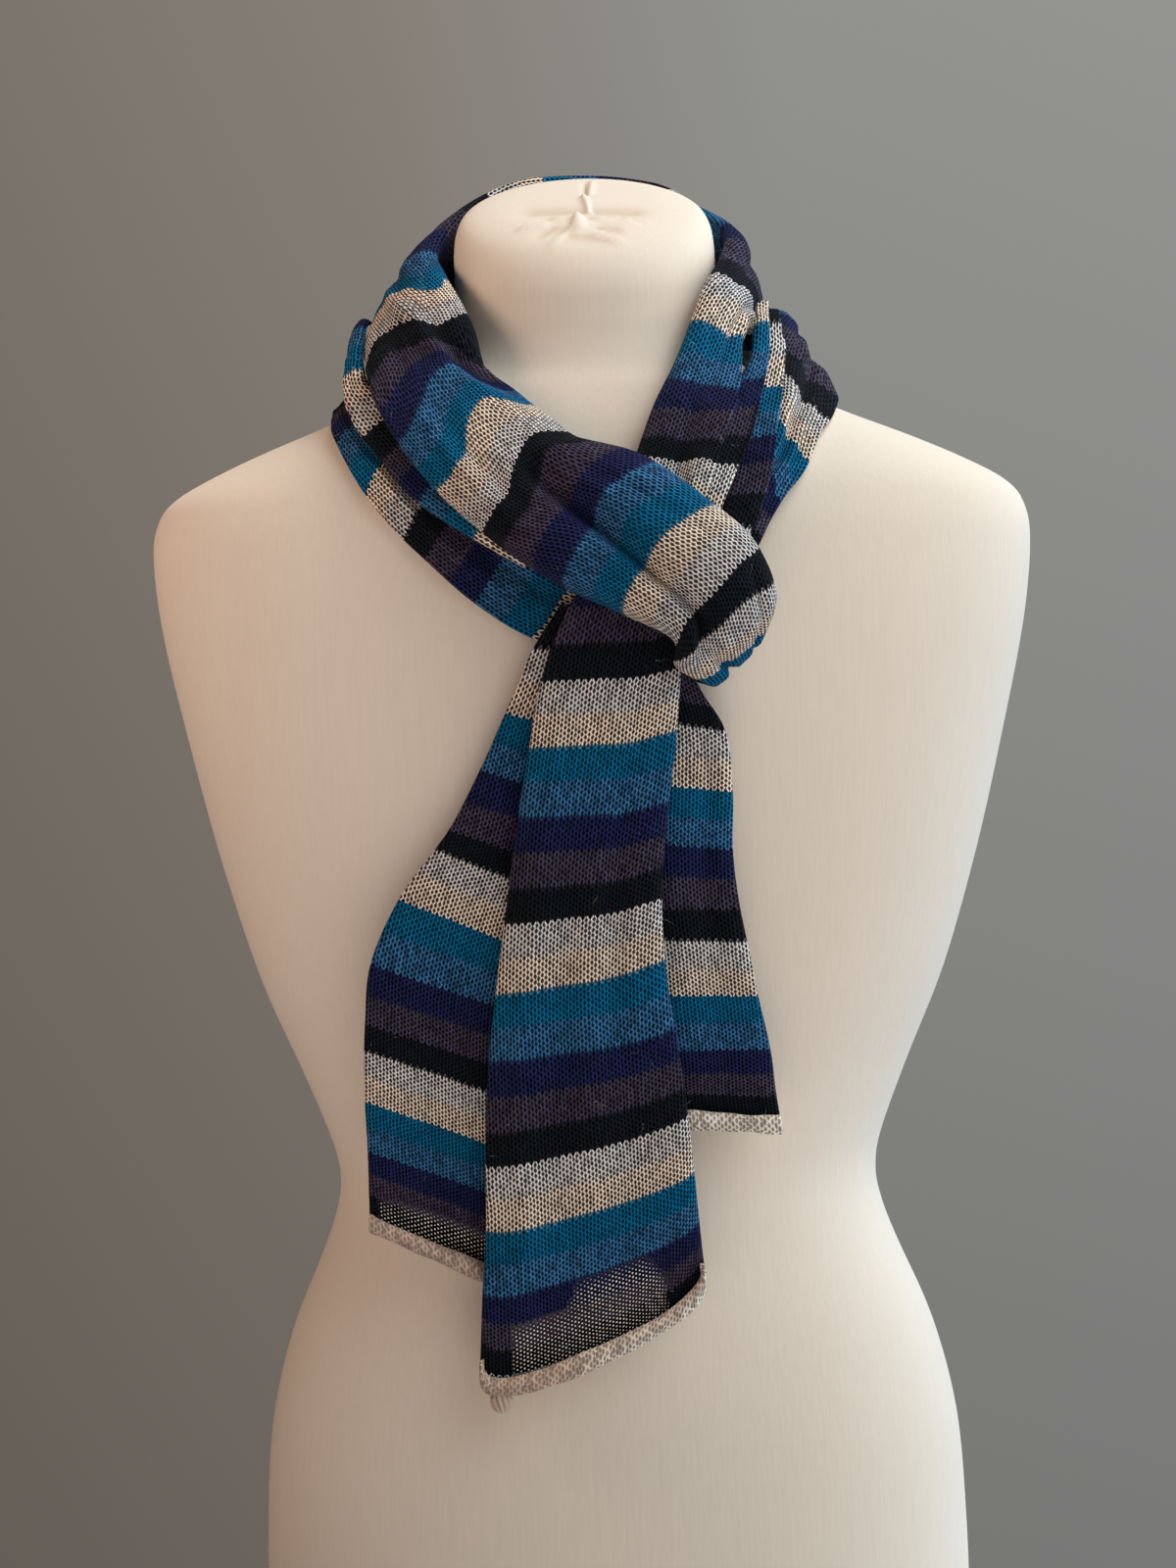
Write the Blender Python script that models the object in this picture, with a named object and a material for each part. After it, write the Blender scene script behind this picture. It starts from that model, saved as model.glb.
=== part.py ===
"""Striped knitted scarf tied round the neck of a limbless tabletop dress form.

The scarf is folded in half at the nape, and its two loose ends are pulled through the fold in
front. Each stretch of cloth that shows is one open tube of knit wall, lofted through sections
that lie on the borders between the stripes. Lengths are in millimetres and are turned into
metres as the meshes are made. Front is -Y, up is +Z, and the form stands on z = 0.
"""
import math
from collections import namedtuple

import bpy
import numpy as np
from mathutils.bvhtree import BVHTree

mm = 0.001
knit_wall = 1.6          # thickness of the knit, and of every cloth wall here
roundness = 0.8          # 1 is an ellipse, less is boxier
hem_roll_angle = 285.0   # degrees that a hem curls up at the front

# The form, in level rings from the base to the neck. tilt is how much a ring rises to the back.
FormRing = namedtuple("FormRing", "z half_width front back squareness tilt")
form_rings = [
    FormRing(0, 149, 92, 94, 2.3, 0.0),
    FormRing(5, 153, 96, 98, 2.3, 0.0),
    FormRing(60, 154, 97, 99, 2.3, 0.0),
    FormRing(110, 153.5, 96, 98, 2.3, 0.0),
    FormRing(155, 150.5, 93, 95, 2.3, 0.0),
    FormRing(195, 141, 88, 88, 2.3, 0.0),
    FormRing(230, 126.5, 83, 81, 2.3, 0.0),
    FormRing(248, 120, 81.5, 78, 2.3, 0.0),
    FormRing(262, 117.8, 81, 77, 2.3, 0.0),
    FormRing(278, 120.5, 81.5, 77, 2.3, 0.0),
    FormRing(310, 133, 84, 78, 2.3, 0.0),
    FormRing(350, 150, 88, 82, 2.3, 0.0),
    FormRing(400, 165.5, 93, 87, 2.3, 0.0),
    FormRing(450, 178, 95, 91, 2.3, 0.0),
    FormRing(500, 189, 93, 93, 2.3, 0.0),
    FormRing(535, 193, 87, 92, 2.3, 0.0),
    FormRing(552, 190.5, 82, 88, 2.3, 0.0),
    FormRing(562, 182.5, 78, 85, 2.3, 0.0),
    FormRing(572, 164.5, 73, 81, 2.3, 0.0),
    FormRing(582, 142, 68, 76, 2.3, 0.0),
    FormRing(592, 117, 63, 70, 2.25, 0.0),
    FormRing(602, 94, 58, 64, 2.2, 0.0),
    FormRing(612, 73, 53, 59, 2.15, 0.0),
    FormRing(626, 61, 50.5, 56.5, 2.1, 0.05),
    FormRing(646, 57.5, 50, 56, 2.1, 0.2),
    FormRing(668, 57.5, 50, 56, 2.1, 0.45),
    FormRing(679, 55.5, 48, 52.8, 2.05, 0.5),
    FormRing(685, 50, 43, 46.5, 2.0, 0.5),
    FormRing(688.5, 38, 32, 35, 2.0, 0.5),
    FormRing(690, 20, 17, 18, 2.0, 0.5),
]
form_facets = 36

# Sections of the cloth. stripe counts the stripes from the middle of the scarf towards a hem,
# the outer and inner edges are where the tube is widest, crown and under are how far it bulges
# in front of and behind that line, and bow is how far the stripe border bends along the scarf.
Row = namedtuple("Row", "stripe ox oy oz ix iy iz crown under bow")

# The half of the scarf that hugs the neck: knot turn, main band, nape, right side.
neck_half = [
    Row(-5.5, 26, -97.5, 484, 38, -98, 510, 2, 2, 0),
    Row(-4.5, 36, -98.5, 477, 50, -98.5, 504, 2.5, 2.5, 0),
    Row(-3.5, 46, -102, 473, 62, -100, 498, 3, 3.5, 0),
    Row(-2.5, 47, -110.5, 473, 68, -105, 495, 4, 4, 0),
    Row(-1.5, 39, -118, 476, 71.5, -111, 501, 6.5, 4.5, 0),
    Row(-0.5, 32.5, -124, 480.5, 72.5, -118, 512, 11, 4.5, 1),
    Row(0.5, 33, -125, 489, 66.5, -121, 527, 15, 4, 2),
    Row(2.5, 11.5, -124, 502, 48, -118, 546, 17, 4, 5),
    Row(4.5, -13, -121, 514, 22.5, -107, 565, 17, 4, 5),
    Row(6.5, -37, -113, 531, -4.5, -94, 574, 16, 4, 5),
    Row(7.5, -46, -108, 538.5, -13.5, -87, 581.5, 15, 4, 3),
    Row(9.5, -65, -96, 556.5, -28.5, -75, 595.5, 14, 4, 5),
    Row(11.5, -81.5, -80, 578.5, -39.5, -63, 604, 12, 4, 9),
    Row(12.5, -89, -68, 592.5, -44, -57, 610, 11, 4, 7),
    Row(13.5, -92, -51, 606, -48, -50, 627, 11, 4, -3),
    Row(14.5, -93.5, -33, 613, -52.5, -43, 638, 11, 4, -5),
    Row(16.5, -93.5, 2, 620, -61.5, -26, 656, 12, 4, -2),
    Row(18.5, -87, 34, 626, -66, 6, 672, 12, 4, 0),
    Row(20.5, -66, 56, 635, -54, 38, 694, 8, 4, 0),
    Row(22.5, -38, 70, 642, -33, 59, 709, 6, 4, 0),
    Row(25.0, 0, 76, 645, 0, 67, 713.2, 5, 4, 0),
    Row(27.5, 37, 70, 641, 32, 59, 707.8, 6, 4, 0),
    Row(30.5, 62, 55, 632, 51, 40, 693, 8, 4, 0),
    Row(33.0, 76, 34, 628, 64, 12, 678, 8, 4, 0),
    Row(35.0, 73, 6, 631, 60, -19, 660, 6.5, 4, 0),
    Row(36.5, 68, -24, 628, 52, -40, 646, 6, 4, 2),
    Row(37.5, 65.5, -41, 619, 46, -50, 631, 6, 4, 3),
    Row(38.5, 64, -53, 609, 40, -59, 616, 6.5, 4, 2),
    Row(40.5, 61, -74, 587, 28, -74, 591, 7.5, 4, 1),
    Row(42.5, 52, -89, 563, 19, -88.5, 567, 6, 4, 0),
    Row(44.5, 46, -101, 541, 11, -101, 543, 4, 3, 0),
    Row(46.0, 40, -108.5, 524, 4, -109, 526, 3.5, 2.5, 0),
]

# The end of that half, which hangs in front below the knot.
front_tail_rows = [
    Row(46.1, 39, -109, 522, 0, -109.5, 524, 3, 2.5, 0),
    Row(47.5, 36, -111, 505, -10, -111, 505, 3, 2.5, 0),
    Row(49.5, 34, -111.5, 476, -22, -111.5, 475, 5, 3, 0),
    Row(51.5, 31.5, -111, 450, -27.5, -111, 448, 6, 3, 0),
    Row(53.5, 27.5, -110.5, 420.5, -33, -110.5, 420, 6, 3, 0),
    Row(55.5, 24.5, -110, 394, -37.5, -110, 390.5, 6, 3, 0),
    Row(58.5, 25, -109, 356.5, -44, -109, 347.5, 6, 3, 0),
    Row(60.5, 28.5, -108, 329, -47.5, -108, 320.5, 5.5, 3, 1),
    Row(62.5, 31.5, -107, 306, -49.5, -107, 291.5, 5, 3, 2.5),
    Row(65.5, 34.5, -105.5, 272.5, -50.5, -105.5, 251.5, 4.5, 3, 4.5),
    Row(67.5, 36, -104.5, 253, -52.5, -104.5, 226.5, 4, 3, 7.5),
    Row(69.5, 37.2, -103.5, 238.5, -53.7, -103.5, 207, 3.5, 3, 12),
    Row(70.9, 38, -103, 231, -54.5, -103, 193.5, 3, 3, 14.5),
]

# The other half: the band below the main one, round the nape, and down the right shoulder.
shoulder_half = [
    Row(5.5, 25, -97.5, 484, 37, -98, 510, 2, 2, 0),
    Row(8.0, -2, -97.5, 486, 20, -98, 512, 2, 2, 0),
    Row(9.5, -25, -97, 494, -4, -97.5, 520, 3, 2.5, 0),
    Row(11.5, -49, -94, 509.5, -29, -93, 536, 4, 2.5, 0),
    Row(13.5, -70, -89, 529, -50, -87, 553, 4, 2.5, 0),
    Row(14.5, -80, -84.5, 539, -60, -82, 562, 4, 2.5, 0),
    Row(16.5, -96, -74, 560, -77, -70, 579, 4.5, 2.5, 0),
    Row(18.5, -107, -52, 582, -91, -53, 594, 4.5, 2.5, 0),
    Row(20.0, -108.5, -32, 591, -95, -33, 601, 4.5, 3, 0),
    Row(22.0, -107, -4, 596, -96, -6, 609, 5, 3, 0),
    Row(24.5, -98, 36, 594, -90, 34, 628, 6, 4, 0),
    Row(27.0, -74, 66, 592, -76, 62, 645, 6, 4, 0),
    Row(29.5, -40, 79, 591, -42, 81, 653, 6, 4, 0),
    Row(32.0, 0, 83, 591, 0, 87, 656, 6, 4, 0),
    Row(34.5, 40, 79, 592, 42, 81, 654, 6, 4, 0),
    Row(37.0, 72, 63, 597, 74, 60, 650, 6, 4, 0),
    Row(39.5, 94, 34, 604, 88, 30, 643, 6, 4, 0),
    Row(40.5, 100, 17, 605, 86, 13, 639, 6, 4, 0),
    Row(41.5, 102, -2, 603, 81.5, -7, 629, 6, 4, 1),
    Row(42.5, 101, -21, 591, 74, -26, 614, 5.5, 3, 3),
    Row(43.5, 96, -40, 579.5, 72, -44, 598, 5, 3, 3),
    Row(44.5, 91, -54, 571, 70, -56, 585, 4.5, 3, 3),
    Row(45.5, 86, -67, 558, 66.5, -69, 570, 4, 2.5, 2),
    Row(46.5, 79, -79, 548.5, 61.5, -79, 558.5, 3.5, 2.5, 1),
    Row(47.5, 74, -88, 541, 58, -88, 548, 3, 2, 0),
    Row(49.0, 67, -95.3, 528, 52, -95.9, 534, 2.5, 2, 0),
    Row(50.5, 56, -101.1, 512, 42, -101.1, 517, 2, 1.5, 0),
]

# A second fold of the same half shows as a strip between the two bands on the left.
left_fold_rows = [
    Row(8.0, -28, -101.5, 523, -14, -101, 538, 2.5, 3, 0),
    Row(9.5, -49, -98.5, 536, -34, -96, 551, 3, 6, 0),
    Row(11.5, -72, -90.5, 552.5, -56, -88, 568, 3, 7, 0),
    Row(13.5, -89, -76, 573, -75, -74, 586, 3.5, 7, 0),
    Row(14.5, -96, -64, 584, -84, -64, 597, 3.5, 7, 0),
    Row(15.5, -101.5, -46, 599, -95, -48, 606.5, 3, 5, 0),
    Row(16.5, -103.5, -28, 614, -98.5, -29, 620.5, 2.5, 3, 0),
    Row(17.5, -103.3, -10, 626.5, -98.3, -10, 632, 2, 2.5, 0),
    Row(18.5, -102, 6, 635.5, -97.5, 6, 640.5, 2, 2, 0),
    Row(19.5, -99.5, 20, 637.5, -95.7, 19, 641.5, 1.5, 2, 0),
]

# Two narrow folds stand between the inner and outer strands on the right.
right_fold_rows = [
    Row(36.4, 79.5, -14, 641, 75, -17, 640, 1.5, 2, 0),
    Row(37.5, 78.5, -31, 629, 73, -35, 628, 2, 2.5, 0),
    Row(38.5, 77, -47, 614, 70, -51, 613, 2.5, 4, 0),
    Row(39.5, 74, -58.5, 601, 63, -62.5, 600, 3, 7, 0),
    Row(41.5, 66, -79, 574.5, 52, -83, 575, 3, 8, 0),
    Row(43.5, 55, -97, 550, 43, -99, 550, 2.5, 5, 0),
    Row(45.5, 44, -108, 524, 34, -109, 526, 2, 1.5, 0),
]
right_pleat_rows = [
    Row(35.4, 84, -2, 638.5, 80, -6, 637.5, 1.5, 2, 0),
    Row(36.5, 84.5, -24, 619.5, 76, -29, 618.5, 2, 4, 0),
    Row(37.5, 82, -42, 602, 69.5, -46, 602, 3, 7, 0),
    Row(39.5, 77.5, -67, 577, 61.5, -70.5, 577, 3.5, 8, 0),
    Row(41.5, 71.5, -86, 551, 55.5, -89.5, 551, 3, 6, 0),
    Row(42.5, 66, -95.3, 536, 51, -96.8, 537, 2.5, 4, 0),
    Row(44.0, 54, -102.5, 515, 42, -103, 518, 2, 1.5, 0),
]

# The end of the shoulder half hangs behind the other tail, folded lengthwise into two layers.
back_left_rows = [
    Row(48.5, 20, -103.5, 506, -13, -103.5, 507, 1.5, 1.5, 0),
    Row(49.5, 17, -103.5, 488, -25, -104, 489, 2, 1.5, 0),
    Row(50.5, 12, -103.5, 471, -30.5, -104, 476.5, 2.5, 2, 0),
    Row(51.5, 6, -103, 452, -37, -103.5, 463, 3, 2, 0),
    Row(53.5, 2, -102, 423, -48, -102, 440, 3, 2, 0),
    Row(55.5, 0, -101.5, 393, -61.5, -101, 415.5, 3, 2, 0),
    Row(56.5, -2, -101, 380, -67.5, -101, 407.5, 3, 2, 0),
    Row(58.5, -3, -100, 354, -83, -99, 387.5, 3.5, 2, 0),
    Row(60.5, -4, -99, 328, -95.5, -98, 361, 3.5, 2, 0),
    Row(62.5, -5, -98, 304, -98.5, -97, 336.5, 3.5, 2, 0),
    Row(65.5, -6, -95, 270, -99.5, -95.5, 304.5, 3.5, 2, 0),
    Row(67.5, -7, -92.5, 250, -99, -94, 283.5, 3, 2, 0),
    Row(69.5, -7.7, -90.5, 226, -99, -92.5, 265.5, 3, 2, 0),
    Row(70.7, -8, -89, 212, -99, -91.5, 253.5, 2.5, 2, 0),
]
back_right_rows = [
    Row(53.5, 35, -103.5, 494, 21, -103.5, 497, 1.5, 1.5, 0),
    Row(54.5, 40, -103.5, 476, 20, -104, 481, 2, 1.5, 0),
    Row(56.5, 52, -102.5, 453.5, 17, -103, 459.5, 3, 2, 0),
    Row(58.5, 54.5, -102, 428.5, 14, -102, 433.5, 3, 2, 0),
    Row(60.5, 54, -101, 404.5, 12, -101, 409, 3, 2, 0),
    Row(62.5, 56.5, -99.5, 380, 11, -100, 382, 3.5, 2, 0),
    Row(63.5, 59, -98, 366.5, 11, -99, 369, 3.5, 2, 0),
    Row(65.5, 63, -96.5, 344, 10, -98, 346, 3.5, 2, 0),
    Row(67.5, 67.5, -94.5, 322, 9, -96, 323, 3.5, 2, 0),
    Row(69.5, 69.8, -91.5, 302, 8, -93, 306, 3, 2, 0),
    Row(70.8, 71.5, -90.5, 290, 8, -92, 296, 3, 2, 0),
]

# A crease or ridge that runs along a stretch. side goes from -1 at the outer edge to 1 at the
# inner one, width is in the same units, and a negative height is a trough.
Fold = namedtuple("Fold", "first last side_first side_last width height")
main_folds = [
    Fold(-1.0, 6.6, -0.66, 0.1, 0.15, -7.0),
    Fold(5.0, 10.5, -0.45, -0.3, 0.18, -2.5),
    Fold(8.0, 14.5, 0.95, 0.42, 0.17, -4.5),
    Fold(11.5, 16.5, -0.5, -0.1, 0.2, -2.5),
]
nape_folds = [
    Fold(16, 29, 0.4, 0.15, 0.17, -3.5),
    Fold(18, 34, -0.25, -0.45, 0.15, -3.0),
    Fold(26, 36, 0.5, 0.35, 0.14, -2.5),
]
turn_folds = [
    Fold(-4.5, 0.6, -0.3, -0.5, 0.11, -3.2),
    Fold(-4.0, 0.4, 0.35, 0.62, 0.1, -2.4),
]
right_folds = [
    Fold(34, 40, -0.45, -0.3, 0.18, -3.0),
    Fold(38, 47, 0.1, -0.35, 0.2, -2.5),
]
front_tail_folds = [
    Fold(47, 71, -0.45, -0.35, 0.18, -2.5),
    Fold(50, 71, 0.15, 0.3, 0.2, -2.0),
    Fold(52, 71, 0.65, 0.7, 0.14, 1.5),
]
lower_folds = [Fold(8, 21, 0.2, -0.15, 0.22, -2.5)]
outer_nape_folds = [
    Fold(20, 36, 0.45, 0.1, 0.16, -4.0),
    Fold(21, 43, -0.4, -0.2, 0.15, -3.5),
    Fold(31, 42, 0.55, 0.4, 0.14, -3.0),
]
outer_right_folds = [
    Fold(41, 47.5, -0.25, 0.1, 0.2, -3.5),
]
back_left_folds = [Fold(54, 71, 0.2, 0.45, 0.2, -1.8)]
back_right_folds = [Fold(56, 71, -0.55, -0.3, 0.2, -1.8)]

# A stretch of cloth: which sections it runs through, how far round each runs, and how finely its
# wall is divided. They are listed from the lowest layer to the topmost.
Stretch = namedtuple("Stretch", "name rows first last turn steps columns folds hem_radius colour")
stretches = [
    Stretch("left_lower", shoulder_half, 5.5, 21.0, 150, 18, 10, lower_folds, 0, "beige"),
    Stretch("left_fold", left_fold_rows, 8.0, 19.5, 115, 15, 6, [], 0, "mauve"),
    Stretch("knot_turn", neck_half, -5.5, -0.12, 158, 10, 14, turn_folds, 0, "grey"),
    Stretch("back_tail_left", back_left_rows, 48.5, 70.7, 158, 17, 9, back_left_folds, 3.6, "blue"),
    Stretch("back_tail_right", back_right_rows, 53.5, 70.8, 158, 14, 9, back_right_folds, 3.6, "beige"),
    Stretch("nape_inner", neck_half, 16.06, 35.0, 158, 16, 10, nape_folds, 0, "mauve"),
    Stretch("nape_outer", shoulder_half, 21.06, 41.0, 150, 18, 10, outer_nape_folds, 0, "blue"),
    Stretch("right_outer", shoulder_half, 41.06, 50.5, 120, 14, 9, outer_right_folds, 0, "grey"),
    Stretch("right_pleat", right_pleat_rows, 35.4, 44.0, 115, 14, 6, [], 0, "black"),
    Stretch("right_fold", right_fold_rows, 36.4, 45.5, 115, 14, 6, [], 0, "teal"),
    Stretch("right_inner", neck_half, 35.06, 46.0, 150, 14, 10, right_folds, 0, "indigo"),
    Stretch("front_tail", front_tail_rows, 46.1, 70.9, 158, 22, 14, front_tail_folds, 3.9, "black"),
    Stretch("main_band", neck_half, 0.0, 16.0, 158, 24, 14, main_folds, 0, "teal"),
]

# What each stretch lies on, and over which of its stripes.
Support = namedtuple("Support", "upper lower first last")
supports = [
    Support("left_lower", "dress_form", 5.5, 21),
    Support("left_fold", "dress_form", 8, 20),
    Support("left_fold", "left_lower", 8, 20),
    Support("back_tail_left", "left_lower", 48, 52),
    Support("back_tail_right", "left_lower", 53, 56),
    Support("nape_inner", "dress_form", 16, 35),
    Support("nape_outer", "dress_form", 21, 41),
    Support("nape_outer", "left_fold", 21, 26),
    Support("nape_outer", "nape_inner", 23, 38),
    Support("right_outer", "dress_form", 41, 50),
    Support("right_pleat", "dress_form", 36, 44),
    Support("right_pleat", "right_outer", 36, 44),
    Support("right_fold", "dress_form", 36, 45),
    Support("right_fold", "right_pleat", 36, 45),
    Support("right_inner", "dress_form", 35, 46),
    Support("right_inner", "right_pleat", 38.8, 46),
    Support("right_inner", "right_fold", 38.3, 46),
    Support("front_tail", "back_tail_left", 46, 71),
    Support("front_tail", "back_tail_right", 46, 71),
    Support("main_band", "dress_form", 0, 16),
    Support("main_band", "left_lower", 0, 13.5),
    Support("main_band", "left_fold", 0, 13),
    Support("main_band", "front_tail", 0, 9),
    Support("main_band", "right_inner", 0, 9),
    Support("main_band", "right_fold", 0, 6),
    Support("main_band", "right_pleat", 0, 6),
    Support("main_band", "right_outer", 0, 6),
]
back_clearance = 1.5     # from the middle of a wall to what it lies on, at a section's underside
front_clearance = 3.9    # the same at its crest, which leaves room for the underside between
support_reach = 60.0     # how far out the search for what lies beneath begins
support_range = 90.0     # and how far in from there it goes

hem_steps = 9
slope_reach = 0.2        # stripes each way over which a stretch's direction is read

# A rolled corner of the hem hangs below the front tail.
Knob = namedtuple("Knob", "name x y z width depth height colour")
knobs = [Knob("hem_knob", -46.5, -106.5, 177.8, 8.5, 7.5, 9.5, "beige")]
knob_rings = 7
knob_facets = 10

Finish = namedtuple("Finish", "red green blue roughness")
finishes = {
    "black": Finish(0.011, 0.016, 0.022, 0.95),
    "grey": Finish(0.46, 0.44, 0.42, 0.95),
    "beige": Finish(0.66, 0.52, 0.39, 0.95),
    "teal": Finish(0.005, 0.19, 0.36, 0.95),
    "blue": Finish(0.06, 0.21, 0.42, 0.95),
    "indigo": Finish(0.042, 0.034, 0.18, 0.95),
    "mauve": Finish(0.14, 0.105, 0.16, 0.95),
    "form_jersey": Finish(0.74, 0.66, 0.56, 0.9),
}


def clear_scene():
    for old in list(bpy.data.objects):
        bpy.data.objects.remove(old, do_unlink=True)


def material(name):
    finish = finishes[name]
    made = bpy.data.materials.get(name)
    if made is None:
        made = bpy.data.materials.new(name)
        made.use_nodes = True
        shader = made.node_tree.nodes["Principled BSDF"]
        shader.inputs["Base Color"].default_value = (finish.red, finish.green, finish.blue, 1)
        shader.inputs["Roughness"].default_value = finish.roughness
        shader.inputs["Metallic"].default_value = 0.0
    return made


def add_object(name, points, faces, finish_name, trees):
    mesh = bpy.data.meshes.new(name)
    mesh.from_pydata([tuple(point * mm) for point in points], [], faces)
    mesh.update()
    mesh.shade_smooth()
    made = bpy.data.objects.new(name, mesh)
    made.data.materials.append(material(finish_name))
    bpy.context.scene.collection.objects.link(made)
    trees[name] = BVHTree.FromPolygons([tuple(point) for point in points], faces)


def smooth_curve(places, values, at):
    """Values read at the places asked for, on a smooth curve through every row."""
    places = np.asarray(places, float)
    values = np.asarray(values, float)
    slopes = np.gradient(values, places, axis=0)
    index = np.clip(np.searchsorted(places, at, side="right") - 1, 0, len(places) - 2)
    gap = places[index + 1] - places[index]
    t = ((at - places[index]) / gap)[:, None]
    gap = gap[:, None]
    start = values[index] * (1 + 2 * t) * (1 - t) ** 2 + slopes[index] * gap * t * (1 - t) ** 2
    end = values[index + 1] * t * t * (3 - 2 * t) - slopes[index + 1] * gap * t * t * (1 - t)
    return start + end


def unit(vectors):
    return vectors / np.linalg.norm(vectors, axis=-1, keepdims=True)


def rounded(wave):
    return np.sign(wave) * np.abs(wave) ** roundness


def fold_height(folds, stripe, side):
    """How far the folds lift the cloth at each stripe place and side."""
    height = np.zeros(np.broadcast(stripe, side).shape)
    for fold in folds:
        along = np.clip((stripe - fold.first) / (fold.last - fold.first), 0, 1)
        centre = fold.side_first + (fold.side_last - fold.side_first) * along
        fade = np.sin(math.pi * along) ** 0.5
        height += fold.height * fade * np.exp(-(((side - centre) / fold.width) ** 2))
    return height


def cloth_sheet(stretch, trees):
    """The middle surface of a stretch, one row of points for each step along it."""
    rows = np.array(stretch.rows, float)
    stripe = np.linspace(stretch.first, stretch.last, stretch.steps + 1)
    read = smooth_curve(rows[:, 0], rows[:, 1:], stripe)
    ahead = smooth_curve(rows[:, 0], rows[:, 1:], np.minimum(stripe + slope_reach, rows[-1, 0]))
    behind = smooth_curve(rows[:, 0], rows[:, 1:], np.maximum(stripe - slope_reach, rows[0, 0]))
    outer, inner = read[:, 0:3], read[:, 3:6]
    half = (inner - outer) / 2
    centre = (inner + outer) / 2
    travel = unit((ahead - behind)[:, 0:3] + (ahead - behind)[:, 3:6])
    out = unit(np.cross(half, travel))
    angle = np.radians(np.linspace(-stretch.turn, stretch.turn, stretch.columns + 1))
    side = rounded(np.sin(angle))[None, :]
    lift = rounded(np.cos(angle))[None, :]
    front = np.clip(lift, 0, None)
    bulge = read[:, 6:7] * front + read[:, 7:8] * np.clip(lift, None, 0)
    bulge = bulge + fold_height(stretch.folds, stripe[:, None], side) * front ** 0.5
    sheet = centre[:, None] + half[:, None] * side[..., None] + out[:, None] * bulge[..., None]
    sheet = sheet + travel[:, None] * (read[:, 8:9] * front)[..., None]
    sheet = sheet + out[:, None] * lift_over(stretch, stripe, sheet, out, lift[0], trees)[..., None]
    if stretch.hem_radius:
        sheet = np.concatenate([sheet, hem_roll(sheet, travel[-1], stretch.hem_radius)])
    return sheet


def lift_over(stretch, stripe, sheet, out, lift, trees):
    """How far each point has to move out to lie on the solids beneath it, spread to its neighbours."""
    share = (lift - lift.min()) / (lift.max() - lift.min())
    clearance = back_clearance + (front_clearance - back_clearance) * share
    need = np.zeros(sheet.shape[:2])
    for support in supports:
        if support.upper != stretch.name:
            continue
        for row in np.nonzero((stripe >= support.first) & (stripe <= support.last))[0]:
            for column, point in enumerate(sheet[row]):
                start = point + out[row] * support_reach
                depth = trees[support.lower].ray_cast(start, -out[row], support_range)[3]
                if depth is not None:
                    missing = clearance[column] + support_reach - depth
                    need[row, column] = max(need[row, column], missing)
    wide = neighbours(need, np.max)
    return np.maximum(wide, neighbours(wide, np.mean))


def neighbours(grid, take):
    """The largest or mean value among each grid point and those round it."""
    padded = np.pad(grid, 1, mode="edge")
    rows, columns = grid.shape
    shifted = [padded[row:row + rows, column:column + columns] for row in range(3) for column in range(3)]
    return take(shifted, axis=0)


def hem_roll(sheet, travel, radius):
    """Rows that carry the cloth on past its last section, curling up in front as knit does."""
    last = sheet[-1]
    forward = np.array((0.0, -1.0, 0.0))
    rows = []
    for step in range(1, hem_steps + 1):
        angle = math.radians(hem_roll_angle) * step / hem_steps
        reach = radius * math.sin(angle)
        lift = radius * (1 - math.cos(angle))
        rows.append(last + travel * reach + forward * lift)
    return np.array(rows)


def sheet_normals(sheet):
    along = np.gradient(sheet, axis=0)
    across = np.gradient(sheet, axis=1)
    return unit(np.cross(across, along))


def grid_faces(rows, columns, start, flipped):
    faces = []
    for row in range(rows - 1):
        for column in range(columns - 1):
            a = start + row * columns + column
            corners = (a, a + 1, a + columns + 1, a + columns)
            faces.append(corners[::-1] if flipped else corners)
    return faces


def edge_loop(rows, columns):
    """Point numbers round the border of a grid, in order."""
    first = list(range(columns))
    right = [row * columns + columns - 1 for row in range(1, rows)]
    last = [(rows - 1) * columns + column for column in range(columns - 2, -1, -1)]
    left = [row * columns for row in range(rows - 2, 0, -1)]
    return first + right + last + left


def add_wall(name, sheet, finish_name, trees):
    """A closed wall of the knit's thickness round a sheet of points."""
    rows, columns = sheet.shape[:2]
    step = sheet_normals(sheet) * knit_wall / 2
    points = np.concatenate([(sheet + step).reshape(-1, 3), (sheet - step).reshape(-1, 3)])
    count = rows * columns
    faces = grid_faces(rows, columns, 0, False) + grid_faces(rows, columns, count, True)
    border = edge_loop(rows, columns)
    for here, there in zip(border, border[1:] + border[:1]):
        faces.append((there, here, here + count, there + count))
    add_object(name, points, faces, finish_name, trees)


def superellipse(ring, angle):
    """A point of one ring of the form. Angle 0 is at the right, and a quarter turn is the back."""
    power = 2 / ring.squareness
    across, along = math.cos(angle), math.sin(angle)
    x = ring.half_width * math.copysign(abs(across) ** power, across)
    depth = ring.back if along > 0 else ring.front
    y = depth * math.copysign(abs(along) ** power, along)
    return np.array((x, y, ring.z + ring.tilt * y))


def add_form(trees):
    points = []
    for ring in form_rings:
        for facet in range(form_facets):
            points.append(superellipse(ring, 2 * math.pi * (facet + 0.5) / form_facets))
    faces = [tuple(range(form_facets - 1, -1, -1))]
    for ring in range(len(form_rings) - 1):
        for facet in range(form_facets):
            a = ring * form_facets + facet
            b = ring * form_facets + (facet + 1) % form_facets
            faces.append((a, b, b + form_facets, a + form_facets))
    top = (len(form_rings) - 1) * form_facets
    faces.append(tuple(top + facet for facet in range(form_facets)))
    add_object("dress_form", points, faces, "form_jersey", trees)


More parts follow.
